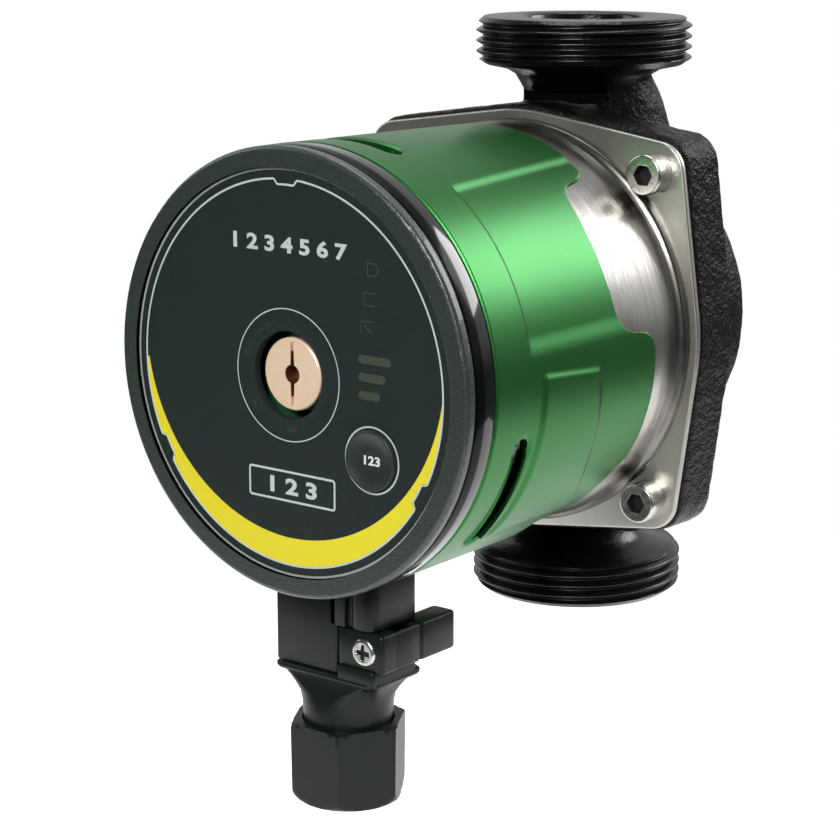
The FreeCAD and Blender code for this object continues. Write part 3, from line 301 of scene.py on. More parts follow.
def make_piece(name, points, faces, body, slot, finish, replaced=(), sharp=35.0):
    """A mesh piece of the pump, shaded smooth except over its sharp edges."""
    settle(new_object(name, new_mesh(name, points, faces)), body, finish, replaced, sharp)


def ring_faces(rings, count, closed=False):
    """Faces between rings of points: back to the first ring when closed, or else with both ends shut."""
    faces = []
    for ring in range(rings if closed else rings - 1):
        first = ring * count
        second = (ring + 1) % rings * count
        for index in range(count):
            following = (index + 1) % count
            faces.append((first + index, first + following, second + following, second + index))
    if not closed:
        last = (rings - 1) * count
        faces.append(tuple(range(count - 1, -1, -1)))
        faces.append(tuple(last + index for index in range(count)))
    return faces


def spun(outline, turns=192):
    """Points and faces of an outline of (radius, forward) points turned about the motor's axis."""
    points = []
    for turn in range(turns):
        angle = math.radians(360.0 * turn / turns)
        for radius, forward in outline:
            points.append(from_motor_axis(radius * math.cos(angle), radius * math.sin(angle), forward))
    return points, ring_faces(turns, len(outline), True)


def pillar(sections):
    """A closed surface through level outlines of (across, along) points, each at its height."""
    points = []
    for height, outline in sections:
        points.extend(Vector((across, along, height)) * MM for across, along in outline)
    return points, ring_faces(len(sections), len(sections[0][1]))


def circle(along, radius, steps=96):
    """A level circle of (across, along) points about the line of the ports or one beside it."""
    turns = [2 * math.pi * step / steps for step in range(steps)]
    return [(radius * math.cos(turn), along + radius * math.sin(turn)) for turn in turns]


def lug_outline(round_radius, lug_radius, reach, steps=10):
    """The flange's outline: a round middle and four lugs, joined by straight edges."""
    away = reach * math.sqrt(2)
    lean = math.degrees(math.acos((round_radius - lug_radius) / away))
    outline = []
    for lug in range(4):
        middle = 45.0 + 90.0 * lug
        centre = (math.cos(math.radians(middle)) * away, math.sin(math.radians(middle)) * away)
        for step in range(steps + 1):
            angle = math.radians(middle - lean + 2 * lean * step / steps)
            outline.append((centre[0] + lug_radius * math.cos(angle),
                            centre[1] + lug_radius * math.sin(angle)))
        gap = 90.0 - 2 * lean
        for step in range(steps + 1):
            angle = math.radians(middle + lean + gap * step / steps)
            outline.append((round_radius * math.cos(angle), round_radius * math.sin(angle)))
    return outline


def plate(outline, rear, front, rounding, steps=3):
    """Points and faces of a flat plate with rounded rims, its outline seen from the front."""
    levels = set()
    for step in range(steps + 1):
        angle = math.pi / 2 * step / steps
        drop = rounding * (1 - math.sin(angle))
        inset = rounding * (1 - math.cos(angle))
        levels.update(((rear + drop, inset), (front - drop, inset)))
    points = []
    count = len(outline)
    for forward, inset in sorted(levels):
        for index, (across, up) in enumerate(outline):
            before = Vector(outline[index - 1])
            after = Vector(outline[(index + 1) % count])
            along = (after - before).normalized()
            points.append(from_motor_axis(across - along.y * inset, up + along.x * inset, forward))
    return points, ring_faces(len(levels), count)


def join_shapes(*shapes):
    """One list of points and faces from several."""
    points = []
    faces = []
    for more_points, more_faces in shapes:
        offset = len(points)
        points.extend(more_points)
        faces.extend(tuple(offset + corner for corner in face) for face in more_faces)
    return points, faces


def arc(centre_radius, centre_forward, radius, start, finish, steps=6):
    """Points of a rounded corner in a (radius, forward) outline, between two angles in degrees."""
    points = []
    for step in range(steps + 1):
        angle = math.radians(start + (finish - start) * step / steps)
        points.append((centre_radius + radius * math.cos(angle), centre_forward + radius * math.sin(angle)))
    return points


def where(tree, squeeze=(1.0, 1.0, 1.0)):
    """The place on the piece, in metres, squeezed along an axis across which a grain is drawn out."""
    spot = add_node(tree, "ShaderNodeTexCoord", {}, {}, "Object")
    return add_node(tree, "ShaderNodeMapping", {}, {"Vector": spot, "Scale": squeeze})


def grain(tree, place, scale, detail=3.0, coarseness=0.5):
    """Soft noise over a place, from nothing to one, with its scale in lumps to the metre."""
    return add_node(tree, "ShaderNodeTexNoise", {"noise_dimensions": "3D"},
                    {"Vector": place, "Scale": scale, "Detail": detail, "Roughness": coarseness}, "Fac")


def blended(tree, factor, first, second):
    """A colour between two colours, either of which may be a wire."""
    first, second = (colour if isinstance(colour, Wire) else tuple(colour) + (1.0,)
                     for colour in (first, second))
    return add_node(tree, "ShaderNodeMix", {"data_type": "RGBA"}, {0: factor, 6: first, 7: second}, 2)


def raise_bumps(tree, shader, height, depth):
    """Feeds a height, in shares of a depth in metres, to the shader's normal."""
    bump = add_node(tree, "ShaderNodeBump", {}, {"Height": height, "Distance": depth, "Strength": 1.0},
                    "Normal")
    feed(tree, bump, shader, "Normal")


def kept_result(piece):
    """Turns a piece's modifiers into plain mesh."""
    graph = bpy.context.evaluated_depsgraph_get()
    piece.data = bpy.data.meshes.new_from_object(piece.evaluated_get(graph))
    piece.modifiers.clear()


flange_round = 46.2
flange_stretch = 1.024
lug_round = 6.6
screw_reach = 35.0
casing_rear = -19.0
volute_radius = 38.2
volute_rounding = 15.0
flange_rear = 8.8
joint_plane = 22.4
collar_height = 10.4
bore_radius = 13.0
neck_rings = ((5.2, 17.0, 0.0), (5.2, 17.0, 39.0), (4.0, 15.8, 46.0), (2.0, 14.6, 51.0), (0.6, 14.6, 52.6),
              (0.0, 16.4, 54.0), (0.0, 20.0, 55.2))

volute = [(0.0, casing_rear)]
volute += arc(volute_radius - volute_rounding, casing_rear + volute_rounding, volute_rounding, -90, 0, 8)
volute += [(volute_radius, flange_rear + 2), (0.0, flange_rear + 2)]
necks = [pillar([(axis_level + side * height, circle(along, radius))
                 for along, radius, height in neck_rings]) for side in (1, -1)]
flange_edge = lug_outline(flange_round, lug_round, screw_reach)
points, faces = join_shapes(
    plate([(across, up * flange_stretch) for across, up in flange_edge], flange_rear, joint_plane, 1.2),
    spun(volute, 96), *necks)
casting = new_object("casting_body", new_mesh("casting_body", points, faces))
clean(casting.data)
remesh = casting.modifiers.new("skin", "REMESH")
remesh.mode = "VOXEL"
remesh.voxel_size = 0.7 * MM
smooth = casting.modifiers.new("soft", "SMOOTH")
smooth.factor = 0.5
smooth.iterations = 5
kept_result(casting)
sand_waves = ((260.0, 0.16), (620.0, 0.10))
drawn_in = 0.12
moved = []
for vertex in casting.data.vertices:
    swell = sum(noise.noise(vertex.co * scale) * height for scale, height in sand_waves)
    moved.extend(vertex.co + vertex.normal * (swell - drawn_in) * MM)
casting.data.vertices.foreach_set("co", moved)
casting.data.update()
for side in (1, -1):
    drill_ends = [(axis_level + side * height, circle(0.0, bore_radius + 0.3, 64)) for height in (24, 70)]
    drill = new_object("drill", new_mesh("drill", *pillar(drill_ends)))
    clean(drill.data)
    bore_cut = casting.modifiers.new("bore", "BOOLEAN")
    bore_cut.operation = "DIFFERENCE"
    bore_cut.solver = "MANIFOLD"
    bore_cut.object = drill
    kept_result(casting)
    bpy.data.objects.remove(drill)
casting_paint, tree, shader = new_finish("casting_paint", (0.0030, 0.0035, 0.0040), 0.26, 0.0,
                                         Specular_IOR_Level=0.16)
spot = where(tree)
lumps = grain(tree, spot, 420.0, 4.0, 0.6)
pits = grain(tree, spot, 1150.0, 2.0, 0.6)
raise_bumps(tree, shader, lumps * 0.6 + pits * 0.4, 1.0 * MM)
feed(tree, 0.24 + lumps * 0.16, shader, "Roughness")
settle(casting, "pump", casting_paint, ("pump_casing",), 180.0)


def threaded_collar(side):
    """A port's collar: a helical pipe thread outside, a flat face, and the machined bore inside."""
    crest = 23.9
    crest_flat = 0.12
    depth = 1.479
    pitch = 2.309
    face_radius = 22.3
    front_slope = 1.1
    rear_slope = 1.6
    sleeve_length = 16.0
    turns = 192
    steps = 84
    heights = [collar_height * step / steps for step in range(steps + 1)]
    inner = [(bore_radius, sleeve_length), (bore_radius, 0.5), (bore_radius + 0.5, 0.0),
             (face_radius - 0.4, 0.0)]
    outer = [(17.4, collar_height + 0.9), (15.2, collar_height + 2.2), (bore_radius + 0.2, sleeve_length)]
    points = []
    for turn in range(turns):
        angle = 2 * math.pi * turn / turns
        section = list(inner)
        for height in heights:
            level = (axis_level - height) * side
            phase = (level / pitch - turn / turns + 0.25) % 1.0
            valley = min(1.0, max(0.0, (abs(2 * phase - 1) - crest_flat) / (1 - 2 * crest_flat)))
            radius = min(crest - depth * valley, face_radius + height * front_slope,
                         face_radius - 0.6 + (collar_height - height) * rear_slope)
            section.append((radius, height))
        section += outer
        for radius, height in section:
            points.append(Vector((radius * math.cos(angle), radius * math.sin(angle),
                                  axis_level + side * (axis_level - height))) * MM)
    return points, ring_faces(turns, len(inner) + len(heights) + len(outer), True)


collar_paint, tree, shader = new_finish("collar_paint", (0.0035, 0.0040, 0.0045), 0.2, 0.0,
                                        Specular_IOR_Level=0.38)
spot = where(tree)
raise_bumps(tree, shader, grain(tree, spot, 900.0, 3.0), 0.08 * MM)
feed(tree, 0.14 + grain(tree, spot, 300.0) * 0.14, shader, "Roughness")
for side, name in ((1, "upper_collar"), (-1, "lower_collar")):
    points, faces = threaded_collar(side)
    make_piece(name, points, faces, "pump", "casting", collar_paint, ("pump_casing",), 60.0)


# Motor housing: a drawn stainless can with a square flange and a rolled foot, held to the casing by
# four socket screws. Its side is bright, with streaks from turning that are partly painted reflection bands,
# with painted dark reflections as smears, and with painted shade at its foot.
def clouded(name, first, second, roughness, scale, metallic=0.0, detail=3.0, coarseness=0.5, uneven=0.0,
            bumps=None, **constants):
    """A finish that wanders between two colours and in roughness, with bumps of a scale and depth."""
    material, tree, shader = new_finish(name, first, roughness, metallic, **constants)
    spot = where(tree)
    cloud = grain(tree, spot, scale, detail, coarseness)
    feed(tree, blended(tree, cloud, first, second), shader, "Base Color")
    if uneven:
        feed(tree, roughness + cloud * uneven, shader, "Roughness")
    if bumps:
        bump_scale, bump_depth = bumps
        raise_bumps(tree, shader, grain(tree, spot, bump_scale, 2.0), bump_depth * MM)
    return material


can_radius = 42.6
foot_radius = 44.4
flange_front = 23.9
can_front = 71.5
can_opening = 30.0
steel, tree, shader = new_finish("steel_can", (0.58, 0.56, 0.52), 0.3, 1.0)
spot = where(tree)
streaks_and_painted_bands = grain(tree, where(tree, (1.0, 18.0, 1.0)), 60.0, 4.0, 0.6)
painted_reflection_smears = grain(tree, spot, 34.0, 3.0, 0.55)
painted_foot_shade = eased(tree, part_of(tree, spot, "Y") + painted_reflection_smears * (6.0 * MM), -29.5 * MM, -25.5 * MM, 0.0, 0.62)
# Painted reflection and shade: the can is darkened at its foot and in smears where the dark casing is
# mirrored, and partly along the streaks.
dark = painted_foot_shade + ((painted_reflection_smears - 0.44) * 3.2).clipped() * 0.6 + ((streaks_and_painted_bands - 0.45) * 2.5).clipped() * 0.4
feed(tree, blended(tree, dark.clipped(), (0.50, 0.485, 0.46), (0.07, 0.066, 0.06)), shader, "Base Color")
feed(tree, 0.20 + streaks_and_painted_bands * 0.2, shader, "Roughness")
raise_bumps(tree, shader, streaks_and_painted_bands, 0.05 * MM)
profile = [(can_radius - 1.0, flange_front - 0.8), (foot_radius, flange_front - 0.8),
           (foot_radius, flange_front + 0.6)]
profile += arc(foot_radius - 0.9, flange_front + 1.4, 0.9, 0, 80, 4)
profile += [(foot_radius - 1.1, flange_front + 2.6), (foot_radius - 1.5, flange_front + 3.0),
            (foot_radius - 1.1, flange_front + 3.5), (can_radius + 0.3, flange_front + 4.6),
            (can_radius, flange_front + 5.6)]
profile += arc(can_radius - 2.0, can_front - 2.0, 2.0, 0, 90, 6)
profile += [(can_opening, can_front), (can_opening, can_front - 1.0), (can_radius - 2.5, can_front - 1.0),
            (can_radius - 1.0, can_front - 2.5)]
make_piece("motor_can", *spun(profile), "pump", "stainless", steel, ("motor_housing",), 50.0)

plate_steel = clouded("plate_steel", (0.62, 0.60, 0.56), (0.36, 0.35, 0.32), 0.28, 90.0, 1.0, 4.0, 0.6, 0.2,
                      (1400.0, 0.03))
make_piece("motor_flange", *plate(flange_edge, joint_plane, flange_front, 0.45), "pump", "stainless",
           plate_steel, ("motor_housing",), 50.0)


# Flange screws: four plated steel socket screws that hold the motor to the casing. Their six-sided
# sockets lie in shadow, and that shade is painted in as a dark colour.
def soften(name, node, finish, width):
    """A finer copy of a CAD node, with its sharp edges rounded, that stands for the node."""
    source = nodes[node]
    shape = bmesh.new()
    shape.from_mesh(source.data)
    bmesh.ops.remove_doubles(shape, verts=shape.verts, dist=0.002 * MM)
    bmesh.ops.dissolve_limit(shape, angle_limit=math.radians(1.0), verts=shape.verts, edges=shape.edges)
    if width:
        sharp = [edge for edge in shape.edges
                 if len(edge.link_faces) == 2 and edge.calc_face_angle() > math.radians(30.0)]
        bmesh.ops.bevel(shape, geom=sharp, offset=width * MM, offset_type="OFFSET", segments=2,
                        profile=0.5, affect="EDGES", clamp_overlap=True)
    mesh = bpy.data.meshes.new(name)
    shape.to_mesh(mesh)
    shape.free()
    for layer in [one for one in mesh.attributes if one.name == "custom_normal"]:
        mesh.attributes.remove(layer)
    piece = new_object(name, mesh)
    settle(piece, source["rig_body"], finish, (node,))
    even = piece.modifiers.new("even", "WEIGHTED_NORMAL")
    even.keep_sharp = True


def sunken_mask(tree, spot, node, depth, radius, reach=0.0):
    """One in a node's sockets, behind its front by a depth and near the axis or four corners off it."""
    aside = part_of(tree, spot, "X").maths("ABSOLUTE") - reach
    aloft = (part_of(tree, spot, "Z") - axis_height).maths("ABSOLUTE") - reach
    near = aside * aside + aloft * aloft < radius ** 2
    return near * (part_of(tree, spot, "Y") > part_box(node)[0].y + depth)


plated = ((0.74, 0.73, 0.70), (0.42, 0.41, 0.39))
head_finish, tree, shader = new_finish("flange_screw", plated[0], 0.22, 1.0)
spot = where(tree)
worn = grain(tree, spot, 700.0)
# Painted shade: the sunk sockets are coloured near black and made rough and not metallic.
inside = sunken_mask(tree, spot, "housing_screws", 0.15 * MM, 2.5 * MM, screw_reach * MM)
feed(tree, blended(tree, inside, blended(tree, worn, *plated), (0.010, 0.010, 0.009)), shader, "Base Color")
feed(tree, 0.16 + worn * 0.2 + inside * 0.3, shader, "Roughness")
feed(tree, 1 - inside, shader, "Metallic")
soften("flange_screws", "housing_screws", head_finish, 0.45)


# Motor shell: an aluminium sleeve anodised satin green that slides over the can. Its sides have a sunk
# panel above and a raised one below, and three slots near the front let the board's warmth out.
def smoothly(value, low, high):
    """A soft step from nothing at one value to one at another."""
    share = min(1.0, max(0.0, (value - low) / (high - low)))
    return share * share * (3 - 2 * share)


def along_line(value, knots):
    """The height of a bent line through (place, height) knots."""
    if value <= knots[0][0]:
        return knots[0][1]
    for (low, first), (high, second) in zip(knots, knots[1:]):
        if value <= high:
            return first + (second - first) * (value - low) / (high - low)
    return knots[-1][1]


shell_front = 91.75
shell_front_radius = 44.85
shell_rear_radius = 44.1
shell_rear = 36.4
shell_wall = 1.3
slot_forward = 81.3
slot_half_width = 2.25
raised_height = 0.5
sunk_depth = 0.55
vent_slots = ((90.0, 17.0), (-30.5, 17.5), (210.5, 17.5))
raised_rear_knots = ((2.4, 57.2), (8.4, 56.4), (14.0, 55.7), (23.0, 55.1), (34.0, 52.7), (43.0, 49.9))
rear_edge_knots = ((-90.0, 55.0), (-51.8, 55.0), (-50.3, 52.9), (-48.7, 48.8), (-48.0, 45.0), (-43.7, 42.0),
                   (-37.6, 39.3), (-34.0, 37.9), (-31.0, 36.4), (-23.0, 35.9), (-5.0, 35.9), (1.1, 36.0),
                   (3.9, 36.7), (5.4, 38.0), (6.4, 39.9), (6.9, 43.8), (8.2, 46.2), (10.8, 48.0),
                   (14.1, 48.8), (22.2, 49.4), (35.6, 49.3), (44.5, 48.4), (48.5, 47.3), (50.8, 45.4),
                   (51.8, 43.4), (52.4, 40.9), (53.2, 38.6), (54.8, 36.8), (56.4, 36.4), (90.0, 36.2))


def mirrored_angle(angle):
    """An angle from -90 to 90 degrees on the right side for any angle about the axis."""
    turned = (angle + 180.0) % 360.0 - 180.0
    if turned > 90.0:
        return 180.0 - turned
    if turned < -90.0:
        return -180.0 - turned
    return turned


def shell_relief(angle, forward):
    """How far the shell's skin stands out of its plain cone, in millimetres."""
    side = mirrored_angle(angle)
    crease = 62.0 - (forward - 38.4) * 0.115
    sunk = 1.0 - smoothly(side, crease - 3.6, crease)
    sunk *= smoothly(side, 7.0, 13.0) * (1.0 - smoothly(forward, 79.6, 80.9))
    bevel_top = 1.0 + (forward - 58.0) * 0.105
    raised = 1.0 - smoothly(side, bevel_top - 1.9, bevel_top + 0.3)
    rear = along_line(-side, raised_rear_knots)
    raised *= smoothly(forward, rear - 0.5, rear + 0.5) * (1.0 - smoothly(forward, 75.6, 77.0))
    raised *= smoothly(side, -50.0, -44.0)
    return raised_height * raised - sunk_depth * sunk


def slot_distance(angle, forward):
    """How far a point of the skin lies outside the nearest vent slot, in millimetres."""
    nearest = 1000.0
    for middle, half_sweep in vent_slots:
        away = (angle - middle + 180.0) % 360.0 - 180.0
        reach = math.radians(half_sweep) * shell_front_radius - slot_half_width
        across = max(0.0, abs(math.radians(away) * shell_front_radius) - reach)
        nearest = min(nearest, math.hypot(across, forward - slot_forward) - slot_half_width)
    return nearest


columns = 720
last_fixed_level = 60.0
close_step = 0.35
wide_step = 0.55
fixed_levels = [shell_front - 0.1 * step for step in range(7)]
while fixed_levels[-1] > last_fixed_level:
    near_slot = abs(fixed_levels[-1] - slot_forward) < slot_half_width + 1.6
    fixed_levels.append(fixed_levels[-1] - (close_step if near_slot else wide_step))
stretched = 46
stretch_power = 0.9
snap_distance = 0.30
rows = len(fixed_levels) + stretched


def onto_slot_edge(angle, forward, distance):
    """Moves a point of the skin that lies close to a slot's edge onto the edge."""
    arc_length = math.radians(1.0) * shell_front_radius
    for _ in range(3):
        slope_f = (slot_distance(angle, forward + 0.01) - slot_distance(angle, forward - 0.01)) / 0.02
        slope_a = (slot_distance(angle + 0.01, forward) - slot_distance(angle - 0.01, forward)) / 0.02
        forward -= distance * slope_f
        angle -= distance * slope_a / arc_length / arc_length
        distance = slot_distance(angle, forward)
    return angle, forward


def rolled_in(distance, drop, width, power):
    """How far the skin drops at a distance from an edge that is rolled in over a width."""
    return drop * (1 - smoothly(distance, 0.0, width)) ** power


points = []
gone = set()
for column in range(columns):
    angle = 360.0 * column / columns
    rear = along_line(mirrored_angle(angle), rear_edge_knots)
    length = rear - fixed_levels[-1]
    levels = fixed_levels + [fixed_levels[-1] + length * (step / stretched) ** stretch_power
                             for step in range(1, stretched + 1)]
    for row, forward in enumerate(levels):
        turned = angle
        distance = slot_distance(turned, forward)
        if abs(distance) < snap_distance:
            turned, forward = onto_slot_edge(turned, forward, distance)
            distance = 0.0
        if distance < 0.0:
            gone.add(column * rows + row)
        share = (forward - shell_rear) / (shell_front - shell_rear)
        radius = shell_rear_radius + (shell_front_radius - shell_rear_radius) * share
        radius += shell_relief(turned, forward)
        radius -= rolled_in(distance, 0.45, 1.1, 1.5)
        radius -= rolled_in(shell_front - forward, 0.5, 0.6, 2)
        radius -= rolled_in(forward - rear, 0.45, 0.8, 2)
        points.append(from_motor_axis(radius * math.cos(math.radians(turned)),
                                      radius * math.sin(math.radians(turned)), forward))
faces = []
for column in range(columns):
    following = (column + 1) % columns
    for row in range(rows - 1):
        corners = (column * rows + row, following * rows + row, following * rows + row + 1,
                   column * rows + row + 1)
        if not gone.intersection(corners):
            faces.append(corners)
green, tree, shader = new_finish("green_anodised", (0.03, 0.18, 0.045), 0.3, 0.82)
spot = where(tree)
fine = grain(tree, spot, 3200.0, 2.0, 0.6)
broad = grain(tree, spot, 45.0, 2.0)
feed(tree, blended(tree, fine, (0.018, 0.125, 0.027), (0.036, 0.205, 0.050)), shader, "Base Color")
feed(tree, 0.27 + fine * 0.10 + broad * 0.06, shader, "Roughness")
raise_bumps(tree, shader, fine, 0.02 * MM)
mesh = new_mesh("green_shell", points, faces)
shape = bmesh.new()
shape.from_mesh(mesh)
bmesh.ops.delete(shape, geom=[vertex for vertex in shape.verts if not vertex.link_faces], context="VERTS")
bmesh.ops.recalc_face_normals(shape, faces=shape.faces)
if max(shape.faces, key=lambda face: face.calc_center_median().z).normal.z < 0:
    bmesh.ops.reverse_faces(shape, faces=shape.faces)
shape.to_mesh(mesh)
shape.free()
shell = new_object("green_shell", mesh)
thicken = shell.modifiers.new("wall", "SOLIDIFY")
thicken.thickness = shell_wall * MM
thicken.offset = -1.0
kept_result(shell)
settle(shell, "pump", green, ("motor_shell",), 40.0)


# Control housing: a tray moulded in black plastic that holds the boards. Its rim closes the shell's
# front with a thin shadow gap, and is polished towards the shell and duller beside the cover.
rim_radius = 44.9
rim_rear = 92.2
rim_front = 98.3
tray_rear = 80.0
rim_profile = arc(rim_radius - 0.7, rim_rear + 0.7, 0.7, -90, 0, 4)
rim_profile += arc(rim_radius - 0.5, rim_front - 0.5, 0.5, 0, 90, 4)
rim_profile += [(39.5, rim_front), (39.5, rim_front - 3.4), (42.0, rim_front - 4.6), (42.0, tray_rear),
                (43.3, tray_rear), (43.3, rim_rear - 0.2)]
rim_black, tree, shader = new_finish("rim_black", (0.003, 0.0035, 0.0035), 0.16, 0.0,
                                     Specular_IOR_Level=0.06, Coat_Roughness=0.06)
spot = where(tree)
polish = eased(tree, part_of(tree, spot, "Y"), (3.0 - rim_front) * MM, (2.4 - rim_front) * MM, 0.9, 0.06)
feed(tree, polish, shader, "Coat Weight")
feed(tree, 0.14 + grain(tree, spot, 500.0) * 0.08, shader, "Roughness")
make_piece("control_rim", *spun(rim_profile), "pump", "black_gloss", rim_black, ("control_housing",), 50.0)


# Front panel: a near-black printed sheet under the clear cover, with a yellow crescent, a ring, the
# window bars of three lamps and a few plain marks. The numbers stand in for words.
print_level = 100.13
black_panel = clouded("black_panel", (0.016, 0.024, 0.024), (0.023, 0.033, 0.032), 0.32, 2600.0, detail=2.0,
                      uneven=0.1, Specular_IOR_Level=0.28)
soften("front_panel", "face_panel", black_panel, 0.12)


def ribbon(path, width, closed=False):
    """Points and faces of a thin printed line along a path of (across, up) points on the panel."""
    points = []
    faces = []
    count = len(path)
    for index, here in enumerate(path):
        before = Vector(path[index - 1] if closed or index else here)
        after = Vector(path[(index + 1) % count] if closed or index < count - 1 else here)
        side = (after - before).normalized()
        for lean in (-0.5, 0.5):
            points.append(from_motor_axis(here[0] - side.y * width * lean, here[1] + side.x * width * lean,
                                          print_level))
    for index in range(count if closed else count - 1):
        following = (index + 1) % count
        faces.append((2 * index, 2 * index + 1, 2 * following + 1, 2 * following))
    return points, faces


def around(radius, centre=(0.0, 0.0), steps=240):
    """Points of a circle on the panel."""
    angles = [2 * math.pi * step / steps for step in range(steps)]
    return [(centre[0] + radius * math.cos(angle), centre[1] + radius * math.sin(angle)) for angle in angles]


ring_radius = 38.5
notch_depth = 1.1
notch_middles = (90.0, 210.0, 330.0)


def notched_radius(angle, radius):
    """The radius of the printed ring, which steps inwards at three places."""
    for middle in notch_middles:
        away = abs((angle - middle + 180.0) % 360.0 - 180.0)
        if away < 4.6:
            return radius - notch_depth * (1 - smoothly(away, 3.0, 4.6))
    return radius


print_ink = clouded("print_ink", (0.60, 0.70, 0.68), (0.70, 0.80, 0.78), 0.5, 1800.0)
ring = []
for step in range(720):
    angle = math.radians(step / 2)
    radius = notched_radius(step / 2, ring_radius)
    ring.append((radius * math.cos(angle), radius * math.sin(angle)))
vent_ring_radius = 13.2
button_place = (21.3, -13.9)
button_ring_radius = 6.55
frame_left, frame_right, frame_low, frame_high = -10.4, 11.8, -25.4, -19.5
frame_corners = [(frame_left, frame_low, 0.5), (frame_right, frame_low, 0.5),
                 (frame_right, frame_high, 0.5), (frame_left, frame_high, 0.5)]
lines = join_shapes(ribbon(ring, 0.4, True), ribbon(around(vent_ring_radius), 0.22, True),
                    ribbon(around(button_ring_radius, button_place, 120), 0.35, True),
                    ribbon([tuple(point) for point in rounded_outline(frame_corners, 3)], 0.45, True))
make_piece("printed_lines", *lines, "pump", "board", print_ink)

sign_ink = clouded("icon_ink", (0.055, 0.062, 0.058), (0.070, 0.078, 0.073), 0.5, 1800.0)
sign_width = 0.22
signs = join_shapes(
    ribbon([(20.4, 24.2), (20.4, 21.8), (22.2, 21.8), (23.2, 23.0), (22.2, 24.2)], sign_width, True),
    ribbon([(22.2, 18.5), (19.6, 18.5), (19.6, 16.1), (22.2, 16.1)], sign_width),
    ribbon([(21.6, 13.0), (18.8, 13.0), (18.8, 10.9)], sign_width),
    ribbon([(19.6, 12.2), (21.4, 10.9)], sign_width))
make_piece("printed_signs", *signs, "pump", "board", sign_ink)


def numerals(name, words, height, centre, level, body, stretch):
    """Plain numbers laid on the front, centred on a place across and up from the motor's axis."""
    curve = bpy.data.curves.new(name, "FONT")
    curve.body = words
    curve.align_x = "CENTER"
    curve.align_y = "CENTER"
    curve.resolution_u = 4
    curve.offset = 0.035
    text = new_object(name, curve)
    bpy.context.view_layer.update()
    graph = bpy.context.evaluated_depsgraph_get()
    flat = bpy.data.meshes.new_from_object(text.evaluated_get(graph))
    bpy.data.objects.remove(text)
    low = min(vertex.co.y for vertex in flat.vertices)
    high = max(vertex.co.y for vertex in flat.vertices)
    scale = height / (high - low)
    middle = (low + high) / 2
    points = [from_motor_axis(centre[0] + vertex.co.x * scale * stretch,
                              centre[1] + (vertex.co.y - middle) * scale, level)
              for vertex in flat.vertices]
    faces = [tuple(polygon.vertices) for polygon in flat.polygons]
    make_piece(name, points, faces, body, "board", print_ink)


numerals("printed_scale", "1 2 3 4 5 6 7", 3.3, (0.2, 25.7), print_level, "pump", 1.4)
numerals("printed_numbers", "1 2 3", 3.4, ((frame_left + frame_right) / 2, (frame_low + frame_high) / 2),
         print_level, "pump", 1.5)

yellow_ink = clouded("yellow_ink", (0.98, 0.82, 0.02), (1.0, 0.90, 0.045), 0.45, 500.0)
crescent_outer = 38.3
crescent_inner_circle = (0.2, 5.7, 38.6)
crescent_start = 181.2
crescent_sweep = 177.6
crescent_steps = 360


def crescent_inner(angle):
    """Where a ray from the motor's axis meets the crescent's inner circle."""
    across, up, radius = crescent_inner_circle
    lean = across * math.cos(angle) + up * math.sin(angle)
    return lean + math.sqrt(lean * lean - across * across - up * up + radius * radius)


outer_path = []
inner_path = []
for step in range(crescent_steps + 1):
    degrees = crescent_start + crescent_sweep * step / crescent_steps
    angle = math.radians(degrees)
    outer = notched_radius(degrees, crescent_outer)
    inner = min(crescent_inner(angle), outer - 0.02)
    outer_path.append(from_motor_axis(outer * math.cos(angle), outer * math.sin(angle), print_level))
    inner_path.append(from_motor_axis(inner * math.cos(angle), inner * math.sin(angle), print_level))
far = crescent_steps + 1
faces = [(step, step + 1, far + step + 1, far + step) for step in range(crescent_steps)]
make_piece("yellow_crescent", outer_path + inner_path, faces, "pump", "board", yellow_ink)

lamp_glass = clouded("lamp_glass", (0.060, 0.066, 0.047), (0.078, 0.084, 0.062), 0.35, 900.0)
soften("lamp_bars", "led_lenses", lamp_glass, 0.1)


# Front cover: a smoky clear disc turned over the panel. Its frosted band is moulded rough outside the
# panel's edge, and its window is so clear that only the panel shows through.
window_radius = 40.75
glint_radius = 40.45
smoky, tree, shader = new_finish("smoky_cover", (0.05, 0.07, 0.06), 0.3, 0.0, Coat_Weight=0.3)
place = add_node(tree, "ShaderNodeTexCoord", {}, {}, "Object")
across = part_of(tree, place, "X")
up = part_of(tree, place, "Z") - axis_height
band = (across * across + up * up).maths("SQRT") > window_radius * MM
rough = grain(tree, place, 2600.0, 2.0, 0.6)
feed(tree, blended(tree, rough, (0.012, 0.018, 0.016), (0.050, 0.066, 0.058)), shader, "Base Color")
feed(tree, 0.06 + band * 0.93, shader, "Alpha")
feed(tree, 0.08 + band * 0.22, shader, "Roughness")
raise_bumps(tree, shader, rough * band, 0.12 * MM)
soften("smoky_front", "front_cover", smoky, 0.0)
# Painted highlight: a pale flat ring at the cover's inner edge stands in for the light caught on that edge.
edge_glint = clouded("edge_glint", (0.36, 0.41, 0.39), (0.55, 0.6, 0.58), 0.3, 800.0)
make_piece("painted_edge_highlight", *ribbon(around(glint_radius), 0.45, True), "pump", "smoky_clear", edge_glint)


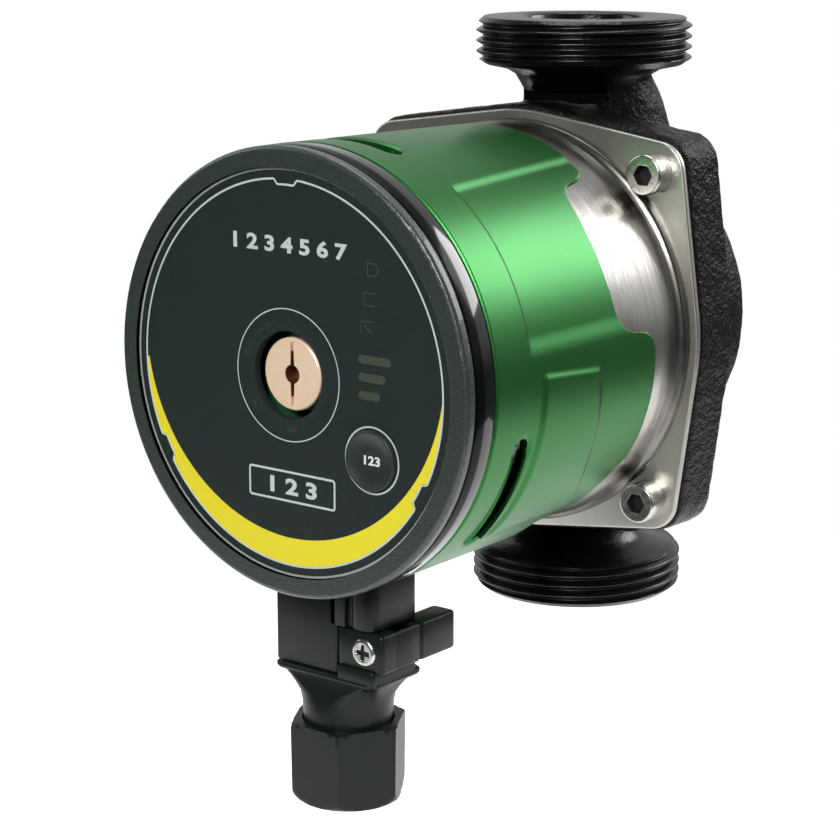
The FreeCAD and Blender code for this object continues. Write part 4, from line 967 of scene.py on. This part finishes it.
# Mode button: a dished cap moulded in black plastic, held behind the panel by its flange and pressed
# with a finger. It bears plain numbers.
black_matte = clouded("black_moulding", (0.015, 0.018, 0.019), (0.023, 0.028, 0.029), 0.42, 700.0,
                      bumps=(2400.0, 0.03))
button_low, button_high = (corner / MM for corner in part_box("mode_button"))
button_front = -button_low.y
button_back = -button_high.y
button_flange = (button_high.x - button_low.x) / 2
flange_top = 97.9
cap_radius = 6.0
stem_radius = 2.0
dish_floor = button_front - 0.75
dish = [(0.0, dish_floor), (2.6, dish_floor), (3.4, dish_floor + 0.07), (5.25, button_front - 0.2),
        (5.5, button_front - 0.03), (5.7, button_front), (5.9, button_front - 0.1),
        (cap_radius, button_front - 0.35), (cap_radius, flange_top), (button_flange, flange_top),
        (button_flange, flange_top - 1.0), (stem_radius, flange_top - 1.0), (stem_radius, button_back),
        (0.0, button_back)]
points, faces = spun(dish, 96)
off_axis = Vector((button_place[0], 0.0, button_place[1])) * MM
make_piece("button_cap", [point + off_axis for point in points], faces, "button", "black_matte",
           black_matte, ("mode_button",), 50.0)
numerals("button_number", "123", 1.9, button_place, dish_floor + 0.03, "button", 1.25)


# Vent plug: a polished copper coloured screw in a steel sleeve, turned with a wide screwdriver to let
# air out. It sits in a recess in the middle of the front, and shade is painted dark into its slot and centre
# hole.
copper, tree, shader = new_finish("copper_plug", (0.98, 0.74, 0.55), 0.34, 0.25)
spot = where(tree)
wear = grain(tree, spot, 500.0)
# Painted shade: the sunk slot and centre hole get a dark brown colour.
slot_shade = sunken_mask(tree, spot, "vent_plug", 0.2 * MM, 4.6 * MM)
bright = blended(tree, wear, (1.0, 0.80, 0.60), (0.93, 0.66, 0.46))
feed(tree, blended(tree, slot_shade, bright, (0.10, 0.035, 0.012)), shader, "Base Color")
feed(tree, 0.26 + wear * 0.16, shader, "Roughness")
soften("copper_vent_plug", "vent_plug", copper, 0.25)


# Mains socket, plug, latch and gland: satin black mouldings below the front. The plug is pushed up
# into the socket and locked with a cross-head screw, and the nut grips the cable.
connector = clouded("connector_black", (0.004, 0.0068, 0.0068), (0.0075, 0.0112, 0.0112), 0.36, 300.0,
                    bumps=(1800.0, 0.03), Specular_IOR_Level=0.27)


def block(left, right, front, rear, low, high, corner, rim):
    """A closed block with rounded upright corners and softened rims."""
    sections = []
    levels = [(low + rim * share, inset) for share, inset in ((0.0, rim), (0.3, 0.3 * rim), (1.0, 0.0))]
    levels += [(high - rim * share, inset) for share, inset in ((1.0, 0.0), (0.3, 0.3 * rim), (0.0, rim))]
    for height, inset in levels:
        sections.append((height, box_outline(left + inset, right - inset, front + inset, rear - inset,
                                             max(corner - inset, 0.05))))
    return pillar(sections)


def box_outline(left, right, front, rear, rounding, steps=6):
    """A level rounded rectangle, its corners in turn from front left."""
    return rounded_outline([(left, front, rounding), (right, front, rounding), (right, rear, rounding),
                            (left, rear, rounding)], steps)


plug_along = -82.5
block_front = plug_along - 7.5
block_rear = plug_along + 7.5
block_side = 13.0
block_low = axis_level - 63.4
block_high = axis_level - 41.5
latch_low, latch_high = (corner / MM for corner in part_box("plug_latch"))
step_low = latch_high.z + 0.1
groove_left = latch_low.x - 2.0
socket = join_shapes(
    block(-block_side, latch_low.x - 0.1, block_front, block_rear, block_low, block_high, 0.5, 0.4),
    block(6.2, block_side, block_front, block_rear, step_low, block_high, 2.4, 0.4),
    block(groove_left, block_side - 3.0, block_front + 0.9, block_rear, step_low, block_high, 0.3, 0.2),
    block(groove_left, 5.5, block_front, block_rear, step_low, block_high, 0.3, 0.3))
make_piece("socket_block", *socket, "pump", "black_matte", connector, ("socket_housing",), 45.0)

lip_top = axis_level - 63.6
lip = [(0.0, 26.4, 15.8, 2.0), (-0.35, 27.2, 16.6, 2.4), (-1.0, 27.2, 16.6, 2.4), (-1.4, 26.4, 15.8, 2.2),
       (-1.6, 24.4, 15.2, 2.6), (-2.6, 22.9, 15.6, 4.0), (-4.0, 21.4, 16.4, 6.0), (-5.6, 20.0, 17.4, 8.0),
       (-7.6, 19.2, 18.4, 9.1), (-9.6, 18.8, 18.8, 9.35), (-13.4, 18.6, 18.6, 9.25),
       (-13.8, 16.4, 16.4, 8.15), (-24.0, 16.4, 16.4, 8.15)]
neck = pillar([(lip_top + height, box_outline(-width / 2, width / 2, plug_along - depth / 2,
                                              plug_along + depth / 2, corner, 12))
               for height, width, depth, corner in lip])
step_block = block(latch_low.x + 0.2, latch_high.x - 2.0, plug_along - 8.2, plug_along + 6.0, lip_top - 0.8,
                   latch_low.z + 0.3, 0.8, 0.3)
make_piece("plug_moulding", *join_shapes(neck, step_block), "plug", "black_matte", connector,
           ("plug_body",), 50.0)

arm_left = latch_high.x - 6.0
seam = latch_low.y + 12.0
latch = join_shapes(
    block(latch_low.x, latch_high.x, latch_low.y, latch_low.y + 10.2, latch_low.z, latch_high.z, 0.9, 0.6),
    block(arm_left, latch_high.x, latch_low.y + 4.0, seam, latch_low.z, latch_high.z, 0.3, 0.6),
    block(arm_left, latch_high.x, seam + 0.25, latch_high.y, latch_low.z, latch_high.z, 1.3, 0.7),
    block(arm_left + 0.4, latch_high.x - 0.4, seam - 1.0, seam + 2.0, latch_low.z + 0.4,
          latch_high.z - 0.4, 0.3, 0.1))
make_piece("plug_lock", *latch, "plug", "black_matte", connector, ("plug_latch",), 50.0)


def hexagon_radius(angle, flats, corner, corner_power=14):
    """Distance from the middle of a hexagon with softened corners, with one corner to the front."""
    away = (angle + math.pi / 2 + math.pi / 6) % (math.pi / 3) - math.pi / 6
    flat = flats / 2 / math.cos(away)
    point = flats / 2 / math.cos(math.pi / 6)
    lean = abs(away) / (math.pi / 6)
    return min(flat, point - corner / 2 * (1 - lean ** corner_power))


nut_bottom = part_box("gland_nut")[0].z / MM
nut_height = 17.2
nut_flats = 22.0
nut_steps = 240
outer_levels = [(0.0, 10.2), (0.25, 10.9), (0.8, 11.6), (1.5, 12.1), (2.3, 12.5), (3.2, 12.8), (4.2, 13.0),
                (14.0, 13.0), (16.2, 12.9), (16.9, 12.4), (nut_height, 11.6)]
inner_levels = [(nut_height, 9.7), (16.9, 9.45), (15.4, 9.4), (15.4, 8.4), (3.0, 8.4), (3.0, 5.3),
                (0.0, 5.3)]
points = []
for step in range(nut_steps):
    angle = 2 * math.pi * step / nut_steps
    hexagon = hexagon_radius(angle, nut_flats, 0.5)
    section = [(height, min(hexagon * (0.985 + 0.015 * height / nut_height), limit))
               for height, limit in outer_levels]
    for height, radius in section + inner_levels:
        points.append(Vector((radius * math.cos(angle), plug_along + radius * math.sin(angle),
                              nut_bottom + height)) * MM)
faces = ring_faces(nut_steps, len(outer_levels) + len(inner_levels), True)
make_piece("gland_cap", points, faces, "gland_nut", "black_matte", connector, ("gland_nut",), 40.0)
bright_screw = clouded("bright_screw", *plated, 0.16, 700.0, 1.0, uneven=0.2)
soften("lock_screw", "plug_screw", bright_screw, 0.3)


# Pieces inside: the rotor, stator, boards, seals and contacts are hidden or seen only past an edge.
# They keep their CAD shapes, and each gets the two-tone finish of its own material.
inner_finishes = {
    name: clouded("inner_" + name, first, second, roughness, scale, metallic, uneven=0.1)
    for name, first, second, roughness, metallic, scale in (
        ("stainless", (0.55, 0.54, 0.52), (0.38, 0.37, 0.35), 0.28, 1.0, 200.0),
        ("steel", (0.42, 0.43, 0.45), (0.30, 0.31, 0.33), 0.35, 1.0, 260.0),
        ("moulded_grey", (0.16, 0.17, 0.17), (0.11, 0.12, 0.12), 0.5, 0.0, 300.0),
        ("carbon", (0.03, 0.03, 0.032), (0.05, 0.05, 0.052), 0.45, 0.0, 400.0),
        ("magnet", (0.06, 0.06, 0.065), (0.09, 0.09, 0.095), 0.55, 0.2, 400.0),
        ("rubber", (0.012, 0.012, 0.012), (0.022, 0.022, 0.022), 0.7, 0.0, 300.0),
        ("copper", (0.65, 0.28, 0.14), (0.50, 0.20, 0.10), 0.3, 1.0, 500.0),
        ("cast_aluminium", (0.48, 0.49, 0.50), (0.36, 0.37, 0.38), 0.5, 0.9, 300.0),
        ("board", (0.02, 0.10, 0.04), (0.03, 0.14, 0.06), 0.45, 0.0, 500.0),
        ("brass", (0.72, 0.50, 0.20), (0.58, 0.38, 0.14), 0.3, 1.0, 300.0))}
for node in nodes.values():
    node.data.materials[0] = inner_finishes.get(node.data.materials[0].name, connector)
